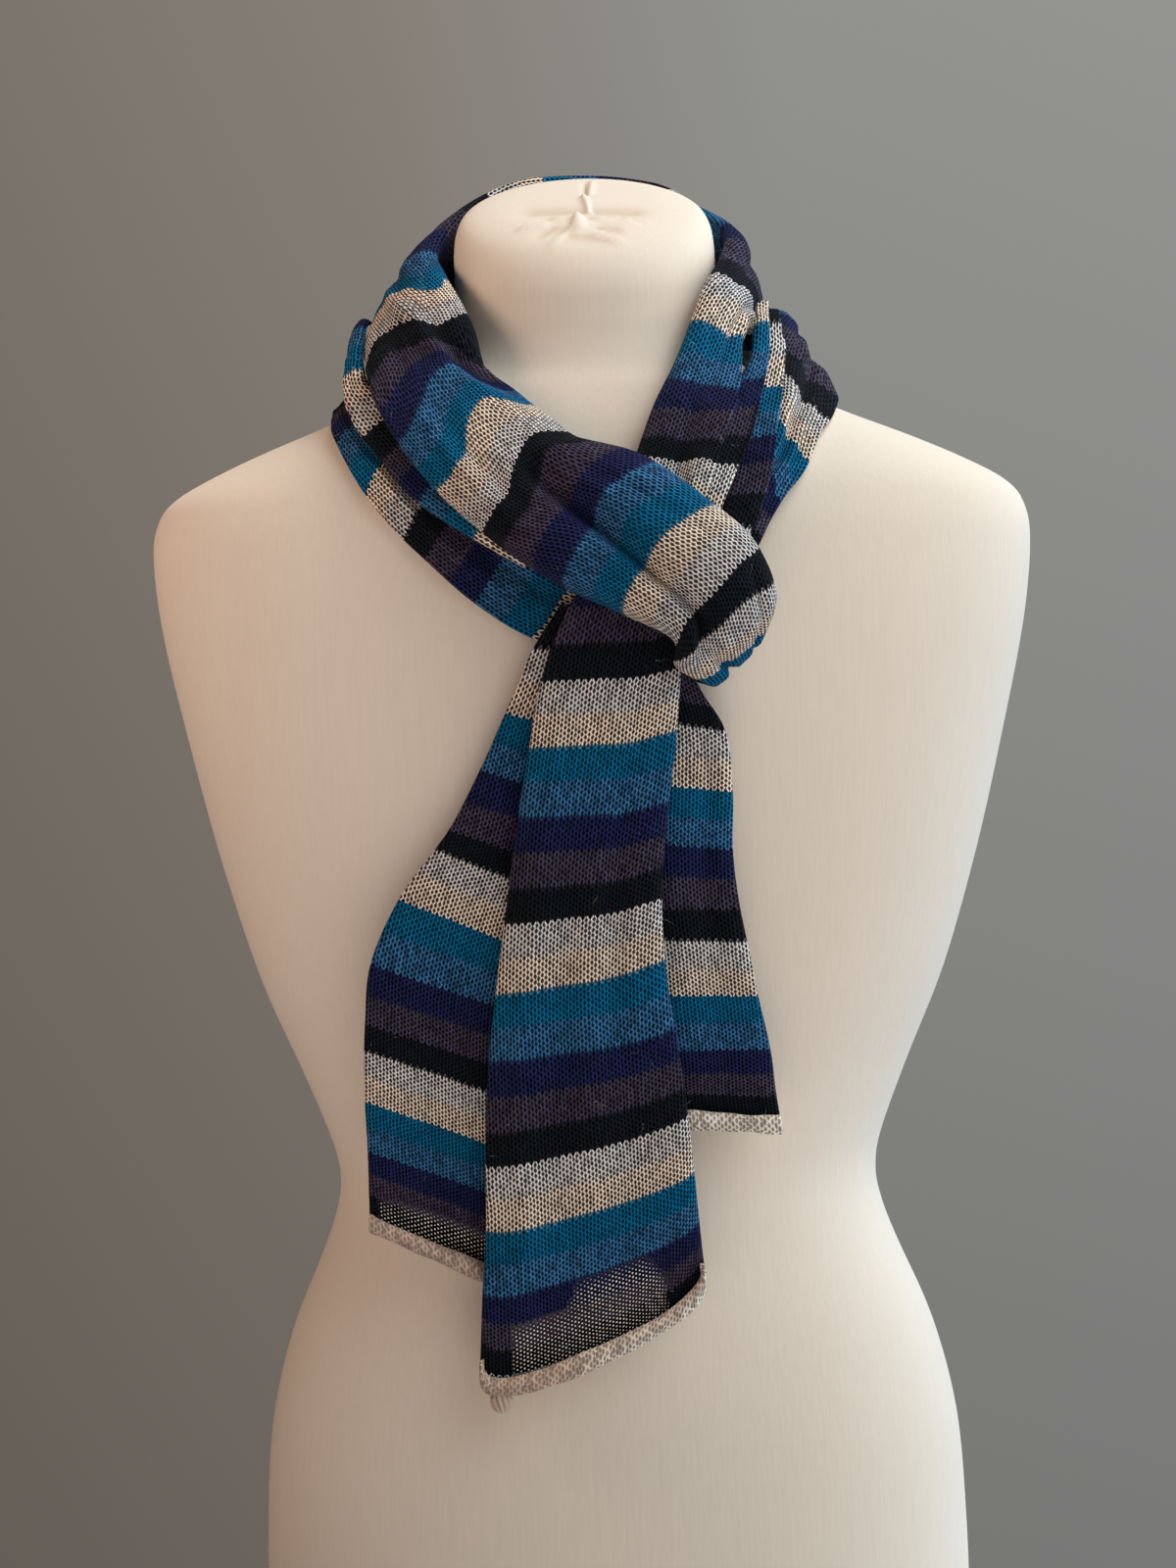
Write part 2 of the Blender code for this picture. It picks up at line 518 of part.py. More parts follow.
def add_knob(knob, trees):
    """A rounded lump, in level rings between two poles."""
    size = np.array((knob.width, knob.depth, knob.height)) / 2
    middle = np.array((knob.x, knob.y, knob.z))
    points = [middle - size * (0, 0, 1)]
    for ring in range(1, knob_rings):
        slope = math.pi * ring / knob_rings - math.pi / 2
        for facet in range(knob_facets):
            turn = 2 * math.pi * facet / knob_facets
            reach = math.cos(slope)
            points.append(middle + size * (reach * math.cos(turn), reach * math.sin(turn), math.sin(slope)))
    points.append(middle + size * (0, 0, 1))
    faces = []
    top = len(points) - 1
    last = top - knob_facets
    for facet in range(knob_facets):
        beside = (facet + 1) % knob_facets
        faces.append((0, 1 + beside, 1 + facet))
        faces.append((top, last + facet, last + beside))
        for ring in range(knob_rings - 2):
            a = 1 + ring * knob_facets
            faces.append((a + facet, a + beside, a + beside + knob_facets, a + facet + knob_facets))
    add_object(knob.name, points, faces, knob.colour, trees)


def main():
    clear_scene()
    trees = {}
    add_form(trees)
    for stretch in stretches:
        add_wall(stretch.name, cloth_sheet(stretch, trees), stretch.colour, trees)
    for knob in knobs:
        add_knob(knob, trees)


main()
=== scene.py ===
import math
from collections import namedtuple

import bpy
import numpy as np
from mathutils import Matrix, Vector
from mathutils.bvhtree import BVHTree


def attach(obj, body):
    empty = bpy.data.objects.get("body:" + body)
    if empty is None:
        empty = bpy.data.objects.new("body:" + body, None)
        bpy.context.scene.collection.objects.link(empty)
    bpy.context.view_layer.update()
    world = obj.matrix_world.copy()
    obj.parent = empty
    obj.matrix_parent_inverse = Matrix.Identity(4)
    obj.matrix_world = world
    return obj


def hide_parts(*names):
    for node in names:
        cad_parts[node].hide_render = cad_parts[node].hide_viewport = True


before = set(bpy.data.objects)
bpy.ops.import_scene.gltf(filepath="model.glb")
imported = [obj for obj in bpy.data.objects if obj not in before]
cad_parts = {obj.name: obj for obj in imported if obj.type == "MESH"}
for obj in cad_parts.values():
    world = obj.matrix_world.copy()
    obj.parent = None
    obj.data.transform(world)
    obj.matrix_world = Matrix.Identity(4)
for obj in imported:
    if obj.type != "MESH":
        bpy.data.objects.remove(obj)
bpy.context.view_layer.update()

mm = 0.001
print("frame loaded")

# the kinds of socket
number, colour, vector = "NodeSocketFloat", "NodeSocketColor", "NodeSocketVector"


# the output of a shader node, which can be worked with as a number is
class Signal:
    def __init__(self, tree, socket):
        self.tree, self.socket = tree, socket

    def then(self, operation):
        return maths(self.tree, operation, self)

    def __add__(self, other):
        return maths(self.tree, "ADD", self, other)

    def __sub__(self, other):
        return maths(self.tree, "SUBTRACT", self, other)

    def __rsub__(self, other):
        return maths(self.tree, "SUBTRACT", other, self)

    def __mul__(self, other):
        return maths(self.tree, "MULTIPLY", self, other)

    def __truediv__(self, other):
        return maths(self.tree, "DIVIDE", self, other)

    def __mod__(self, other):
        return maths(self.tree, "MODULO", self, other)

    def __abs__(self):
        return self.then("ABSOLUTE")


def setInputs(tree, sockets, values):
    # a signal is linked, a number or colour is set
    for label, value in values.items():
        if isinstance(value, Signal):
            tree.links.new(value.socket, sockets[label])
        else:
            sockets[label].default_value = value


def addNode(tree, kind, inputs, **settings):
    node = tree.nodes.new("ShaderNode" + kind)
    for label, value in settings.items():
        setattr(node, label, value)
    setInputs(tree, node.inputs, inputs)
    return node


def maths(tree, operation, *values):
    return Signal(tree, addNode(tree, "Math", dict(enumerate(values)), operation=operation).outputs[0])


def spread(value, low, high, newLow=0.0, newHigh=1.0, smooth=False):
    # what runs from low to high comes out from newLow to newHigh
    node = addNode(value.tree, "MapRange", dict(enumerate((value, low, high, newLow, newHigh))),
                   interpolation_type="SMOOTHSTEP" if smooth else "LINEAR")
    return Signal(value.tree, node.outputs[0])


def blend(tree, share, first, second, how="MIX"):
    node = addNode(tree, "Mix", {"Factor": share, "A": first, "B": second}, data_type="RGBA", blend_type=how)
    return Signal(tree, node.outputs["Result"])


def speckle(position, scale, detail=2.0, roughness=0.5):
    # noise, as a value and as a colour
    node = addNode(position.tree, "TexNoise",
                   {"Vector": position, "Scale": scale, "Detail": detail, "Roughness": roughness})
    return Signal(position.tree, node.outputs["Fac"]), Signal(position.tree, node.outputs["Color"])


def joined(x, y, z):
    return Signal(x.tree, addNode(x.tree, "CombineXYZ", {0: x, 1: y, 2: z}).outputs[0])


def parted(value):
    return [Signal(value.tree, socket) for socket in addNode(value.tree, "SeparateXYZ", {0: value}).outputs]


def shaded(base, level):
    # a colour made darker or lighter
    return blend(level.tree, 1.0, base, joined(level, level, level), "MULTIPLY")


def ramp(value, stops, interpolation="LINEAR"):
    node = addNode(value.tree, "ValToRGB", {0: value})
    node.color_ramp.interpolation = interpolation
    steps = node.color_ramp.elements
    while len(steps) < len(stops):
        steps.new(0.5)
    for index, (place, tint) in enumerate(stops):
        steps[index].position, steps[index].color = place, (*tint, 1)
    return Signal(value.tree, node.outputs[0])


def startGroup(name, inputs):
    tree = bpy.data.node_groups.new(name, "ShaderNodeTree")
    for label, (kind, value) in inputs.items():
        socket = tree.interface.new_socket(name=label, in_out="INPUT", socket_type=kind)
        if value is not None:
            socket.default_value = value
    sockets = tree.nodes.new("NodeGroupInput").outputs
    return tree, [Signal(tree, sockets[label]) for label in inputs]


def endGroup(tree, numbers, colours):
    for kind, labels in ((number, numbers), (colour, colours)):
        for label in labels:
            tree.interface.new_socket(name=label, in_out="OUTPUT", socket_type=kind)
    setInputs(tree, tree.nodes.new("NodeGroupOutput").inputs, {**numbers, **colours})
    return tree


def placeGroup(tree, group, values):
    node = addNode(tree, "Group", values, node_tree=group)
    return {socket.name: Signal(tree, socket) for socket in node.outputs}


# the stripes in their order from the middle of the scarf: how the yarn looks where it catches the light,
# how deep the painted shade in the gaps between its legs gets, as the dark yarns fill theirs, and how
# unevenly it is spun
Yarn = namedtuple("Yarn", "colour gapShare heather")
yarns = {
    "black": Yarn((0.0085, 0.0125, 0.0185), 0.6, 0.35),
    "grey": Yarn((0.66, 0.645, 0.64), 0.95, 0.35),
    "beige": Yarn((0.84, 0.71, 0.59), 0.92, 0.2),
    "teal": Yarn((0.0010, 0.150, 0.325), 0.55, 0.25),
    "midBlue": Yarn((0.036, 0.150, 0.330), 0.55, 0.75),
    "indigo": Yarn((0.016, 0.022, 0.095), 0.6, 0.35),
    "mauve": Yarn((0.060, 0.050, 0.090), 0.55, 0.6),
}


def makeYarnGroup():
    tree, (stripe,) = startGroup("yarnOfStripe", {"Stripe": (number, 0.0)})
    place = (stripe % len(yarns) + 0.5) / len(yarns)

    def byYarn(values):
        # one flat step of the ramp for each yarn
        return ramp(place, [(index / len(yarns), value) for index, value in enumerate(values)], "CONSTANT")

    return endGroup(tree, {"Gap Share": byYarn([(one.gapShare,) * 3 for one in yarns.values()]),
                           "Heather": byYarn([(one.heather,) * 3 for one in yarns.values()])},
                    {"Colour": byYarn([one.colour for one in yarns.values()])})


# sizes in wales across and courses along, scales by the metre
stitchShape = {
    "wanderScale": 190.0,
    "wanderAlong": 1.6,          # along the wales, against across them
    "legSwing": 0.095,
    "legWidth": 0.125,
    "holeUneven": 0.5,
    "holeEdge": (0.66, 1.08),
    "pinholeWidth": 0.125,
    "pinholeLength": 0.21,
    "pinholeEdge": (0.72, 1.12),
    "fleckScale": 1500.0,
}


# stockinette: wales run along U and courses along V, both counted in stitches
def makeStitchGroup():
    tree, given = startGroup("stockinetteStitch", {
        "Stitches": (vector, None), "Position": (vector, None), "Wander": (number, 0.26),
        "Lean": (number, 1.2), "Hole Width": (number, 0.19), "Hole Length": (number, 0.44),
        "Courses In Stripe": (number, 6.0)})
    stitches, position, wander, lean, holeWidth, holeLength, coursesInStripe = given
    asideBy, alongBy, _ = parted(speckle(position, stitchShape["wanderScale"])[1])
    wale, course, _ = parted(stitches)
    wale = wale + (asideBy - 0.5) * wander
    course = course + (alongBy - 0.5) * (wander * stitchShape["wanderAlong"])
    acrossWale = wale.then("FRACT")
    fromMiddle = abs(acrossWale - 0.5)       # 0 in the V, 0.5 between wales
    loopPlace = course + (fromMiddle * 2.0 - 0.5) * lean
    loop = loopPlace.then("FLOOR")
    # each leg of yarn winds between the holes on its two sides
    legMiddle = (course * (2 * math.pi)).then("COSINE") * stitchShape["legSwing"] + 0.25
    offLeg = (fromMiddle - legMiddle) / stitchShape["legWidth"]
    # holes lie in the V at whole courses and between wales at half courses
    whole = abs((course + 0.5).then("FRACT") - 0.5)
    half = abs(course.then("FRACT") - 0.5)

    def toHole(side, along, width, length):
        side, along = side / width, along / length
        return (side * side + along * along).then("SQRT")

    def nearestHole(width, length):
        inWale = toHole(fromMiddle, whole, width, length)
        return maths(tree, "MINIMUM", inWale, toHole(0.5 - fromMiddle, half, width, length))

    leg = joined(wale.then("FLOOR"), loop, maths(tree, "GREATER_THAN", acrossWale, 0.5))
    dice = addNode(tree, "TexWhiteNoise", {"Vector": leg}, noise_dimensions="3D")
    chance = Signal(tree, dice.outputs["Value"])
    smaller = (chance - 0.5) * stitchShape["holeUneven"]
    hole = nearestHole(holeWidth, holeLength) + smaller
    pinhole = nearestHole(stitchShape["pinholeWidth"], stitchShape["pinholeLength"]) + smaller
    return endGroup(tree, {
        "Yarn": (offLeg * offLeg * -1.0).then("EXPONENT"),
        "Hole": spread(hole, *stitchShape["holeEdge"], 1.0, 0.0, True),
        "Pinhole": spread(pinhole, *stitchShape["pinholeEdge"], 1.0, 0.0, True),
        "Loop": (loopPlace.then("FRACT") * math.pi).then("SINE"),
        "Stripe": abs(((loop + 0.5) / coursesInStripe + 0.5).then("FLOOR")),
        "Chance": chance,
        "Fleck": speckle(position, stitchShape["fleckScale"])[0],
    }, {})


# soft uneven darkening, which every finish has
def makeToneGroup():
    tree, (base, position, scale, amount) = startGroup("clothTone", {
        "Colour": (colour, None), "Position": (vector, None), "Scale": (number, 30.0),
        "Amount": (number, 0.2)})
    tone = speckle(position, scale, 3.0)[0]
    return endGroup(tree, {}, {"Colour": shaded(base, (tone - 0.5) * (amount * 2.0) + 1.0)})


yarnGroup = makeYarnGroup()
stitchGroup = makeStitchGroup()
toneGroup = makeToneGroup()


def newMaterial(name):
    material = bpy.data.materials.new(name)
    material.use_nodes = True
    tree = material.node_tree
    return material, tree, Signal(tree, addNode(tree, "TexCoord", {}).outputs["Object"])


def stitchMap(tree):
    return Signal(tree, addNode(tree, "UVMap", {}, uv_map="stitches").outputs[0])


def attribute(tree, name):
    return Signal(tree, addNode(tree, "Attribute", {}, attribute_name=name).outputs["Fac"])


def toned(tree, base, where, **values):
    return placeGroup(tree, toneGroup, {"Colour": base, "Position": where, **values})["Colour"]


def finishShader(tree, base, look, relief=None):
    sockets = tree.nodes["Principled BSDF"].inputs
    setInputs(tree, sockets, {"Base Color": base, **look["shader"]})
    if relief:
        bump = addNode(tree, "Bump", {"Strength": look["bump"], "Distance": look["bumpHeight"] * mm,
                                      "Height": relief})
        setInputs(tree, sockets, {"Normal": Signal(tree, bump.outputs[0])})


scarf = {
    "wall": 1.3,              # thickness of the knit
    "waleWidth": 3.0,
    "stripeWidth": 15.0,
    "coursesInStripe": 6,
    "rollStripe": 71.0,       # the hem rolls up from here on
    "rowsInStripe": 8,        # how finely the wall is divided along its length
    "roundness": 0.8,         # 1 is an ellipse, less is boxier
    "backClearance": 1.5,     # middle of the wall to what lies beneath, at the underside
    "frontClearance": 3.9,    # the same at the crest
    "unevenness": 0.38,
    "fineUnevenness": 0.35,   # stitch by stitch, against that of the folds
}

knitLook = {
    "legShade": 0.20,         # painted shade on the yarn away from the middle of a leg
    "legShine": 1.42,         # painted highlight along its middle
    "legEndShade": 0.90,          # painted shade at the ends of a loop
    "legChance": 0.9,         # how far one leg differs from the next, times the yarn's heather
    "fleck": 1.5,             # the same for hairs along it
    # painted shade down in the holes between the legs
    "gap": (0.035, 0.028, 0.03, 1),
    "paintedLitForm": (0.95, 0.88, 0.80, 1),     # painted light: the lit form behind, painted into the pinholes where the knit is single
    "singleShade": 0.45,                      # and painted shade on the yarn against it
    "bump": 0.6,
    "bumpHeight": 1.0,
    "shader": {"Roughness": 0.92, "Specular IOR Level": 0.05, "Sheen Weight": 0.03, "Sheen Roughness": 0.45,
               "Sheen Tint": (0.85, 0.88, 0.95, 1)},
}


def makeKnit():
    material, tree, where = newMaterial("stripedKnit")
    stitch = placeGroup(tree, stitchGroup, {"Stitches": stitchMap(tree), "Position": where})
    yarn = placeGroup(tree, yarnGroup, {"Stripe": stitch["Stripe"]})
    base = yarn["Colour"]
    # heather: each leg is spun a little lighter or darker, with hairs along it
    lift = (stitch["Chance"] - 0.5) * knitLook["legChance"] + (stitch["Fleck"] - 0.5) * knitLook["fleck"]
    lift = lift * yarn["Heather"] + 1.0
    # painted highlight along the middle of each leg and painted shade at its sides and at the loop ends, for
    # the lit round yarn
    legLight = spread(stitch["Yarn"], 0.0, 1.0, knitLook["legShade"], knitLook["legShine"])
    endLight = spread(stitch["Loop"], 0.0, 0.6, knitLook["legEndShade"], 1.0)
    knitted = toned(tree, shaded(base, legLight * endLight * lift), where)
    openness = attribute(tree, "openness")
    knitted = shaded(knitted, spread(openness, 0.0, 1.0, 1.0, knitLook["singleShade"]))
    # the holes between the legs are painted dark, as painted shade inside the knit
    gap = blend(tree, 1.0, base, knitLook["gap"], "MULTIPLY")
    knitted = blend(tree, stitch["Hole"] * yarn["Gap Share"], knitted, gap)
    # painted light: the pinholes show the lit form behind as a painted colour
    knitted = blend(tree, stitch["Pinhole"] * openness, knitted, knitLook["paintedLitForm"])
    relief = stitch["Yarn"] * spread(stitch["Loop"], 0.0, 1.0, 0.75, 1.0) - stitch["Hole"] * 0.6
    finishShader(tree, knitted, knitLook, relief)
    return material


purlLook = {
    "stitch": {"Wander": 0.35, "Lean": 0.0, "Hole Width": 0.20, "Hole Length": 0.38},
    # painted shade down in the cells of the net
    "cellShade": (0.36, 0.26, 0.20, 1),
    "pale": (0.86, 0.85, 0.78, 1),
    "brown": (0.58, 0.44, 0.355, 1),
    "leftShadeBrown": (0.01, -0.03),      # across the cloth, in metres, towards the browner end, painted shade on the left
    "turnsBrown": (71.4, 71.8),      # stripes over which the pale edge, partly a painted highlight where light catches the fuzz, gives way to the brown
    "turnsBrownBy": 0.6,
    "patchScale": 70.0,              # patches that shift that change, by up to half a stripe
    "cellChance": 0.35,
    "bump": 0.9,
    "bumpHeight": 1.1,
    "shader": {"Roughness": 0.95, "Specular IOR Level": 0.15, "Sheen Weight": 0.25, "Sheen Roughness": 0.4},
}


def makePurl():
    # the wrong side of the knit, which the rolled hem turns outwards: a net round small cells
    material, tree, where = newMaterial("rolledHemPurl")
    stitch = placeGroup(tree, stitchGroup,
                        {"Stitches": stitchMap(tree), "Position": where, **purlLook["stitch"]})
    along = abs(parted(stitchMap(tree))[1]) / scarf["coursesInStripe"]
    along = along + (speckle(where, purlLook["patchScale"])[0] - 0.5) * 0.5
    # painted shade browns the left end of the roll, and the pale edge is partly a painted highlight
    shadedLeftEnd = spread(parted(where)[0], *purlLook["leftShadeBrown"], smooth=True)
    rolledIn = spread(along, *purlLook["turnsBrown"], smooth=True) * purlLook["turnsBrownBy"]
    base = blend(tree, maths(tree, "MAXIMUM", shadedLeftEnd, rolledIn), purlLook["pale"], purlLook["brown"])
    base = blend(tree, stitch["Hole"], base, purlLook["cellShade"])
    # above the roll the wrong side has the stripes too
    inHem = maths(tree, "GREATER_THAN", along, scarf["rollStripe"] - 0.5)
    striped = placeGroup(tree, yarnGroup, {"Stripe": stitch["Stripe"]})["Colour"]
    base = blend(tree, inHem, striped, base)
    base = shaded(base, (stitch["Chance"] - 0.5) * purlLook["cellChance"] + 1.0)
    finishShader(tree, base, purlLook, 1.0 - stitch["Hole"])
    return material


jerseyLook = {
    "colour": (0.80, 0.72, 0.62, 1),
    "gatherShade": (0.64, 0.53, 0.41, 1),   # painted shade, darker and warmer down in the gathers
    "gatherShadeDepth": 2.0,
    "tone": {"Scale": 9.0, "Amount": 0.035},
    "ribScale": 620.0,
    "ribStretch": (1.0, 1.0, 0.06),
    "ribShade": (0.975, 1.015),
    "bump": 0.22,
    "bumpHeight": 0.35,
    "shader": {"Roughness": 0.85, "Specular IOR Level": 0.25, "Sheen Weight": 0.12, "Sheen Roughness": 0.5},
}


def makeJersey():
    material, tree, where = newMaterial("formJersey")
    base = toned(tree, jerseyLook["colour"], where, **jerseyLook["tone"])
    stretched = addNode(tree, "Mapping", {"Vector": where, "Scale": jerseyLook["ribStretch"]})
    ribs = speckle(Signal(tree, stretched.outputs[0]), jerseyLook["ribScale"], 2.0, 0.6)[0]
    base = shaded(base, spread(ribs, 0.3, 0.7, *jerseyLook["ribShade"]))
    # painted shade: the jersey darkens and warms where the cap's gathers sink
    gatherShade = spread(attribute(tree, "gather"), 0.0, -jerseyLook["gatherShadeDepth"])
    base = blend(tree, gatherShade, base, jerseyLook["gatherShade"])
    finishShader(tree, base, jerseyLook, ribs)
    return material


def makePlain(name, base, roughness, furrowShade=None):
    # a little tone over the colour, and painted shade down in the furrows
    material, tree, where = newMaterial(name)
    base = toned(tree, base, where, Scale=400.0, Amount=0.12)
    if furrowShade:
        base = blend(tree, attribute(tree, "furrowShade"), base, furrowShade)
    finishShader(tree, base, {"shader": {"Roughness": roughness}})
    return material


knitMaterial = makeKnit()
purlMaterial = makePurl()
jerseyMaterial = makeJersey()
print("materials made")


# all forms below are in millimetres until a mesh is made

def smoothCurve(places, values, at):
    # values at the places asked for, on a smooth curve through every row
    places, values, at = np.asarray(places, float), np.asarray(values, float), np.asarray(at, float)
    slopes = np.gradient(values, places, axis=0)
    index = np.clip(np.searchsorted(places, at, side="right") - 1, 0, len(places) - 2)
    gap = places[index + 1] - places[index]
    shape = (-1,) + (1,) * (values.ndim - 1)
    t, gap = ((at - places[index]) / gap).reshape(shape), gap.reshape(shape)
    start = values[index] * (1 + 2 * t) * (1 - t) ** 2 + slopes[index] * gap * t * (1 - t) ** 2
    return start + values[index + 1] * t * t * (3 - 2 * t) - slopes[index + 1] * gap * t * t * (1 - t)


def unit(vectors):
    return vectors / np.maximum(np.linalg.norm(vectors, axis=-1, keepdims=True), 1e-9)


def gridNormals(grid):
    return unit(np.cross(np.gradient(grid, axis=1), np.gradient(grid, axis=0)))


def roundTurn(count, start=0.0):
    return (2 * math.pi * (np.arange(count) + start) / count)[None, :]


def makeWaves(seed, shortest, longest):
    # soft unevenness from a handful of slanting waves
    count = 9
    chooser = np.random.default_rng(seed)
    towards = unit(chooser.normal(size=(count, 3)))
    length = chooser.uniform(shortest, longest, count)
    return towards * (2 * math.pi / length)[:, None], chooser.uniform(0, 2 * math.pi, count)


def unevenness(points, waves):
    slopes, starts = waves
    return np.sin(points @ slopes.T + starts).sum(axis=-1) / math.sqrt(len(starts))


def gridFaces(rows, columns, start=0, flipped=False, loops=False):
    # a looped grid closes round on itself, and has a flat face at each end
    wide = columns if loops else columns - 1
    row, column = np.meshgrid(np.arange(rows - 1), np.arange(wide), indexing="ij")
    beside = (column + 1) % columns
    here, above = row * columns + start, (row + 1) * columns + start
    corners = [here + column, here + beside, above + beside, above + column]
    faces = np.stack([corner.ravel() for corner in corners], axis=1).tolist()
    if loops:
        faces.append(list(range(start + columns - 1, start - 1, -1)))
        faces.append(list(range(start + (rows - 1) * columns, start + rows * columns)))
    return [face[::-1] for face in faces] if flipped else faces


def addMesh(name, points, faces, material):
    mesh = bpy.data.meshes.new(name)
    mesh.from_pydata((np.asarray(points) * mm).tolist(), [], faces)
    mesh.update()
    mesh.materials.append(material)
    piece = bpy.data.objects.new(name, mesh)
    bpy.context.scene.collection.objects.link(piece)
    return piece


def addPiece(name, points, faces, material, node=None):
    piece = addMesh(name, points, faces, material)
    piece.data.shade_smooth()
    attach(piece, "root")
    if node:
        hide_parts(node)
    return piece


def keepValues(piece, name, values):
    # a value at every point, for the material to read
    piece.data.attributes.new(name, "FLOAT", "POINT").data.foreach_set("value", values.ravel())


dressForm = {
    "facets": 168,
    "levelsBetweenRings": 5,
    "usual": (2.3, 0.0),      # squareness, where 2 is an ellipse, and tilt
    "capLevels": 16,
    "capCentre": 0.02,        # the innermost ring of the cap, against the outermost
    "capRise": 0.5,
    "capEdge": 683.0,         # the gathers fade in above this height
    "capEdgeFade": 4.0,
    "capTilt": 0.5,
    "puckerDepth": 1.7,
}
# z, half width, front, back, and where they differ from the usual the squareness and the tilt
formRings = [
    (0, 149, 92, 94), (5, 153, 96, 98), (60, 154, 97, 99), (110, 153.5, 96, 98), (155, 150.5, 93, 95),
    (195, 141, 88, 88), (230, 126.5, 83, 81), (248, 120, 81.5, 78), (262, 117.8, 81, 77),
    (278, 120.5, 81.5, 77), (310, 133, 84, 78), (350, 150, 88, 82), (400, 165.5, 93, 87), (450, 178, 95, 91),
    (500, 189, 93, 93), (535, 193, 87, 92), (552, 190.5, 82, 88), (562, 182.5, 78, 85), (572, 164.5, 73, 81),
    (582, 142, 68, 76), (592, 117, 63, 70, 2.25), (602, 94, 58, 64, 2.2), (612, 73, 53, 59, 2.15),
    (626, 61, 50.5, 56.5, 2.1, 0.05), (646, 57.5, 50, 56, 2.1, 0.2), (668, 57.5, 50, 56, 2.1, 0.45),
    (679, 55.5, 48, 52.8, 2.05, 0.5), (685, 50, 43, 46.5, 2, 0.5), (688.5, 38, 32, 35, 2, 0.5),
    (690, 20, 17, 18, 2, 0.5),
]
# gathers of the jersey on the cap: x and y where they start, x and y where they end, width, height
capRidges = [
    (1.8, 31, 1.1, 8, 1.3, -1.1), (4.2, 30, 3, 9, 1.6, 0.7), (0.4, 5, 2.6, -13, 1.5, 1.1),
    (-22, -10.5, 22, -13, 4.5, -0.9), (-17, -19, 22, -21.5, 1, -1.3), (-2.2, -20, -2.3, -31, 2.6, 2.2),
    (-4, -24, -27, -27, 1.5, 1.3), (-4, -29, -21, -50, 1.7, 1.1), (0, -30, 16.5, -40, 1.4, 1),
    (1, -25, 21, -24, 1.5, 1.1), (-8, -33, 8, -37, 6, -0.9), (-12, -26, -19, -34, 1.8, -0.8),
    (6, -28, 15, -31, 1.6, -0.8),
]


def formGrid():
    rings = np.array([(*ring, *dressForm["usual"][len(ring) - 4:]) for ring in formRings], float)
    levels = np.linspace(0, len(rings) - 1, (len(rings) - 1) * dressForm["levelsBetweenRings"] + 1)
    read = smoothCurve(np.arange(len(rings)), rings, levels)
    # the cap closes over in rings that shrink to a point
    shrink = np.linspace(1, dressForm["capCentre"], dressForm["capLevels"])[1:, None]
    top = np.repeat(read[-1:], len(shrink), axis=0)
    top[:, 1:4] *= shrink
    top[:, 0] += dressForm["capRise"] * (1 - shrink[:, 0] ** 2)
    z, halfWidth, front, back, squareness, tilt = np.concatenate([read, top]).T[..., None]
    angle = roundTurn(dressForm["facets"], 0.5)
    across, along = np.cos(angle), np.sin(angle)
    x = halfWidth * np.sign(across) * np.abs(across) ** (2 / squareness)
    y = np.where(along > 0, back, front) * np.sign(along) * np.abs(along) ** (2 / squareness)
    return np.stack([x, y, z + tilt * y], axis=-1)


def capRelief(grid):
    height = np.zeros(grid.shape[:2])
    level = grid[..., 2] - dressForm["capTilt"] * grid[..., 1]
    onCap = np.clip((level - dressForm["capEdge"]) / dressForm["capEdgeFade"], 0, 1)
    for *ends, width, rise in capRidges:
        start, run = np.array(ends[:2]), np.array(ends[2:]) - np.array(ends[:2])
        place = np.clip(((grid[..., :2] - start) @ run) / (run @ run), 0, 1)
        away = np.linalg.norm(grid[..., :2] - start - place[..., None] * run, axis=-1)
        height += rise * np.exp(-(away / width) ** 2)
    return height * onCap * dressForm["puckerDepth"]


def addForm():
    grid = formGrid()
    relief = capRelief(grid)
    grid[..., 2] += relief
    points, faces = grid.reshape(-1, 3), gridFaces(*grid.shape[:2], loops=True)
    piece = addPiece("dressFormJersey", points, faces, jerseyMaterial, "dress_form")
    keepValues(piece, "gather", relief)
    return BVHTree.FromPolygons(points.tolist(), faces)


